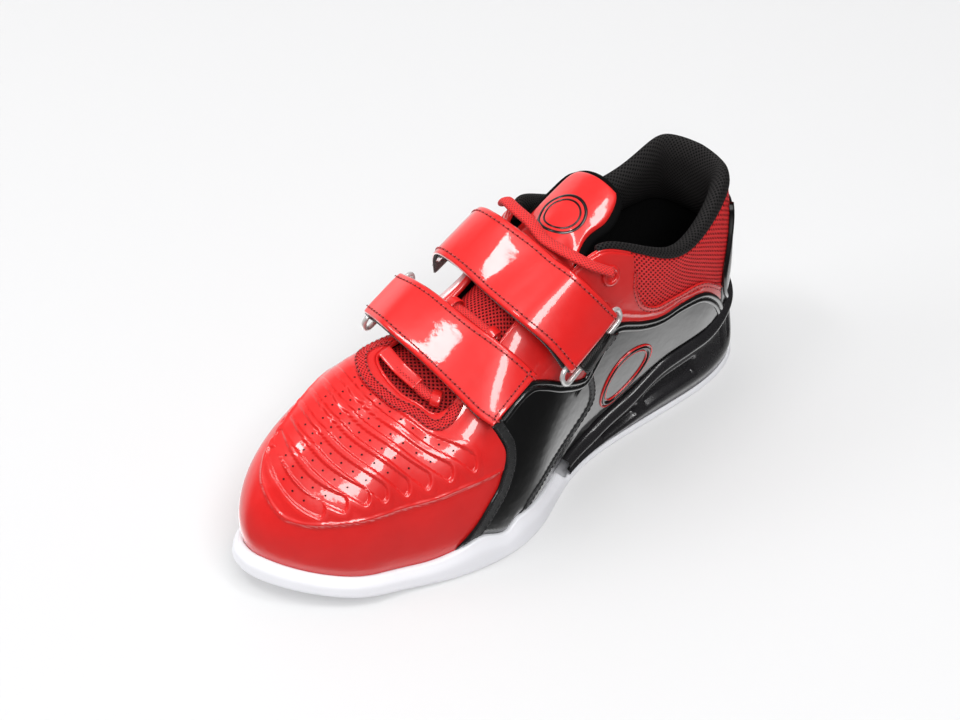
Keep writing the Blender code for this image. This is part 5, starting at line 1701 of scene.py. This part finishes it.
def build_tab(name, far_bar, direction, across, width, seat, seat_normal):
    """Webbing folded round the ring's far bar, with its ends pressed down onto the quarter."""
    radius = RING_WIRE + 2 * CLEARANCE + TAB_THICKNESS / 2
    out = unit(np.cross(across, direction))
    out *= 1 if out.dot(seat_normal) > 0 else -1
    outer_seat, inner_seat = [seat - seat_normal * (TAB_SEAT - TAB_PRESS - TAB_THICKNESS * layers)
                              for layers in (1.5, 0.5)]
    near, far = far_bar + out * radius, far_bar - out * radius
    turns = np.linspace(0, math.pi, 9)[1:-1, None]
    fold = far_bar + out * radius * np.cos(turns) - direction * radius * np.sin(turns)
    line = evenly([outer_seat, (outer_seat + near) / 2 + out * 0.0006, near, *fold, far,
                   (inner_seat + far) / 2, inner_seat], TAB_STEP)
    for _ in range(TAB_SMOOTHING):
        line[1:-1] = (line[:-2] + 2 * line[1:-1] + line[2:]) / 4
    half = width * TAB_HALF_SHARE
    ups = np.cross(np.broadcast_to(across, line.shape), unit(np.gradient(line, axis=0)))
    grid = sweep(line, ups, oval(half, TAB_THICKNESS / 2, 20, 5.0))
    tab = grid_piece("tab_webbing_" + name, grid, webbing, "black_webbing", closed_columns=True, caps=True)
    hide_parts("tab_" + name)
    tab_up = unit(ups[TAB_STITCH_ROW])
    tab_up = tab_up if tab_up.dot(seat_normal) > 0 else -tab_up
    end_line = line[TAB_STITCH_ROW] + across * half * np.linspace(-0.75, 0.75, 16)[:, None]
    stitch_points(end_line + tab_up * TAB_THICKNESS * 0.55, np.repeat(tab_up[None], 16, 0), black_thread)


build_strap("lower", STRAP_LOWER, (19.0, 0.56))
build_strap("upper", STRAP_UPPER, (6.25, 0.50))


EYELET_LIFT = 0.0016
EYELET_SHARE = 0.86
TAPE_START = 52
TAPE_LIFT = 0.0017
LOOP_WIDE = 0.0043
LOOP_HIGH = 0.0032
LOOP_BAND = 0.0046
LACE_LOOPS = (("toe_end_lateral", LACE_BOTTOM, 0.10), ("middle_lateral", LACE_MIDDLE, 0.10),
              ("middle_medial", LACE_MIDDLE, 0.90))
OVAL_CENTRE = (5.36, 0.245)
OVAL_LONG = (-0.56, 0.125)
OVAL_SHORT = (0.30, 0.10)
OVAL_LINES = (
    # name, share of the oval's size, width, thickness, finish, slot
    ("line_outer", 1.0, 0.0009, 0.0004, red_patent, "red_patent"),
    ("rim", 0.91, 0.0014, 0.0007, black_patent, "black_patent"),
    ("line_inner", 0.80, 0.0007, 0.0003, red_patent, "red_patent"),
)
# Shares of the two strips of painted highlight on the medial eyestay
PAINTED_RIM_HIGHLIGHTS = (("outer", 0.88), ("inner", 0.95))


def build_eyelets():
    """Raised ring eyelets of the top lace row."""
    for name, station in (("lateral", 6.0), ("medial", 22.0)):
        s, t = np.array([station]), np.array([EYELET_SHARE])
        normal = upper_normal(s, t)[0]
        first, second = tangents(normal, [0, 0, 1.0])
        centre = upper_face(s, t)[0] + normal * EYELET_LIFT
        path = circle(centre, first, second, EYELET_RADIUS, EYELET_RADIUS, 40)
        grid = sweep(path, normal, oval(EYELET_WIRE * 1.1, EYELET_WIRE, 14), closed=True)
        piece = grid_piece("eyelet_ring_" + name, grid, red_patent, "red_eyelet", closed_rows=True,
                           closed_columns=True)
        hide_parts("eyelet_" + name)


def strip(name, path, up, half_width, half_height, finish, slot, closed=False):
    """A flat strip along a path."""
    grid = sweep(path, np.array(up, dtype=float), oval(half_width, half_height, 18, 3.5), closed=closed)
    return grid_piece(name, grid, finish, slot, closed_rows=closed, closed_columns=True, caps=not closed)


def build_lace_loops():
    """Patent tape over the toe-end lace's medial half, and the loops that hold the laces."""
    lace_line = through(np.array(LACE_BOTTOM) * ROW_SCALE, LACE_SAMPLES)
    tape = evenly(lace_line[TAPE_START:], 0.0008) + np.array([0.0004, 0, TAPE_LIFT])
    strip("lace_tape", tape, (0.35, 0.1, 1.0), 0.0034, 0.0006, red_patent, "red_lace")
    for name, table, share in LACE_LOOPS:
        line = through(np.array(table) * ROW_SCALE, LACE_SAMPLES)
        place = int(share * (LACE_SAMPLES - 1))
        step = unit(line[place + 1] - line[place - 1])
        side, fall = tangents(step, [0, 0, 1.0])
        ring = circle(line[place], side, -fall, LOOP_WIDE, LOOP_HIGH, 36)
        tangent = unit(np.roll(ring, -1, 0) - np.roll(ring, 1, 0))
        ups = np.cross(np.broadcast_to(step, ring.shape), tangent)
        strip("lace_loop_" + name, ring, ups, LOOP_BAND / 2, 0.0004, red_patent, "red_lace", closed=True)


def build_oval():
    """Bare oval badge place on the lateral saddle: a rolled black rim with two red lines."""
    turns = np.linspace(0, 2 * math.pi, 41)[:, None]
    shape = np.array(OVAL_LONG) * np.cos(turns) + np.array(OVAL_SHORT) * np.sin(turns)
    for name, size, width, thickness, finish, slot in OVAL_LINES:
        band("oval_" + name, np.array(OVAL_CENTRE) + size * shape, width, 0.0018, thickness, finish, slot,
             crown=0.0003, spacing=0.0008)


def build_painted_rim_highlights():
    """Two pale pink patent strips side by side on the medial eyestay, between the straps: a painted highlight
    where the eyestay's rim mirrors a pale wall.
    """
    for name, share in PAINTED_RIM_HIGHLIGHTS:
        line = [(18.95, share - 0.02), (19.25, share), (19.60, share + 0.005), (19.95, share)]
        band("painted_rim_highlight_strip_" + name, line, 0.0030, 0.0012, 0.0012, painted_rim_highlight, "red_lace", crown=0.0004,
             spacing=0.0008)


build_eyelets()
build_lace_loops()
build_painted_rim_highlights()
build_oval()
build_stitches()
build_hole_shade_discs()


# Stage
WALL_DIRECTION = (0.26, 0.93, -0.26)


def world_share(tree, value, start, end, low, high):
    """A value of the world's tree, eased from low at start to high at end."""
    made = tree.nodes.new("ShaderNodeMapRange")
    made.interpolation_type = "SMOOTHSTEP"
    for key, number in (("From Min", start), ("From Max", end), ("To Min", low), ("To Max", high)):
        made.inputs[key].default_value = number
    tree.links.new(value, made.inputs["Value"])
    return made.outputs[0]


def build_world():
    """Dark studio with a pale wall behind the medial side and a pale table close under the shoe."""
    studio = bpy.data.worlds.new("studio")
    studio.use_nodes = True
    tree = studio.node_tree
    background = tree.nodes["Background"]
    way = tree.nodes.new("ShaderNodeTexCoord").outputs["Generated"]
    split = tree.nodes.new("ShaderNodeSeparateXYZ")
    toward = tree.nodes.new("ShaderNodeVectorMath")
    toward.operation = "DOT_PRODUCT"
    toward.inputs[1].default_value = WALL_DIRECTION
    tree.links.new(way, split.inputs[0])
    tree.links.new(way, toward.inputs[0])
    both = tree.nodes.new("ShaderNodeMath")
    tree.links.new(world_share(tree, toward.outputs["Value"], 0.45, 0.85, 0.045, 0.85), both.inputs[0])
    tree.links.new(world_share(tree, split.outputs[2], -0.55, -0.78, 0.0, 1.3), both.inputs[1])
    tree.links.new(both.outputs[0], background.inputs[1])
    background.inputs[0].default_value = (1.0, 1.0, 1.0, 1)
    bpy.context.scene.world = studio


FLOOR_HALF = 3.0
LIGHT_TARGET = (0.0, 0.0, 0.05)
LIGHTS = (
    # name, place, long side's direction, size, watts, seen in reflections
    ("overhead", (0.15, 0.45, 1.7), (1, 0, 0), (2.6, 2.6), 30.0, False),
    ("back_left", (-1.3, 1.1, 1.0), (1, 1, 0), (1.0, 1.0), 14.0, False),
    ("vamp_streak", (-0.59, -1.07, 1.45), (0.64, 0.0, 0.26), (1.25, 0.46), 19.0, True),
    ("strap_streak", (-0.64, 0.40, 1.53), (0.3, 0.9, -0.1), (0.50, 0.16), 4.0, True),
    ("top_streak", (0.29, -0.50, 1.60), (0.3, 0.95, 0.2), (0.80, 0.24), 7.0, True),
)


def build_floor():
    """Pale table that lights the shoe from below without showing in its reflections."""
    mesh = bpy.data.meshes.new("floor")
    corners = [(x * FLOOR_HALF, y * FLOOR_HALF, 0) for x, y in ((-1, -1), (1, -1), (1, 1), (-1, 1))]
    mesh.from_pydata(corners, [], [(0, 1, 2, 3)])
    g = Graph("studio_floor", (0.45, 0.45, 0.455), Roughness=0.6, Specular_IOR_Level=0.2,
              Emission_Color=(1.0, 1.0, 1.0, 1.0), Emission_Strength=0.29)
    mesh.materials.append(g.material)
    floor = bpy.data.objects.new("floor", mesh)
    bpy.context.scene.collection.objects.link(floor)
    floor.visible_glossy = False


def build_lights():
    """Area lights that face the shoe."""
    for name, place, long_side, size, watts, mirrored_too in LIGHTS:
        light = bpy.data.lights.new(name, "AREA")
        light.shape = "RECTANGLE"
        light.size, light.size_y = size
        light.energy = watts
        lamp = bpy.data.objects.new(name, light)
        back = (Vector(place) - Vector(LIGHT_TARGET)).normalized()
        along = (Vector(long_side) - back * back.dot(Vector(long_side))).normalized()
        axes = Matrix((along, back.cross(along), back)).transposed()
        lamp.matrix_world = Matrix.Translation(place) @ axes.to_4x4()
        lamp.visible_glossy = mirrored_too
        bpy.context.scene.collection.objects.link(lamp)


build_floor()
build_world()
build_lights()
bpy.context.scene.view_settings.view_transform = "Standard"
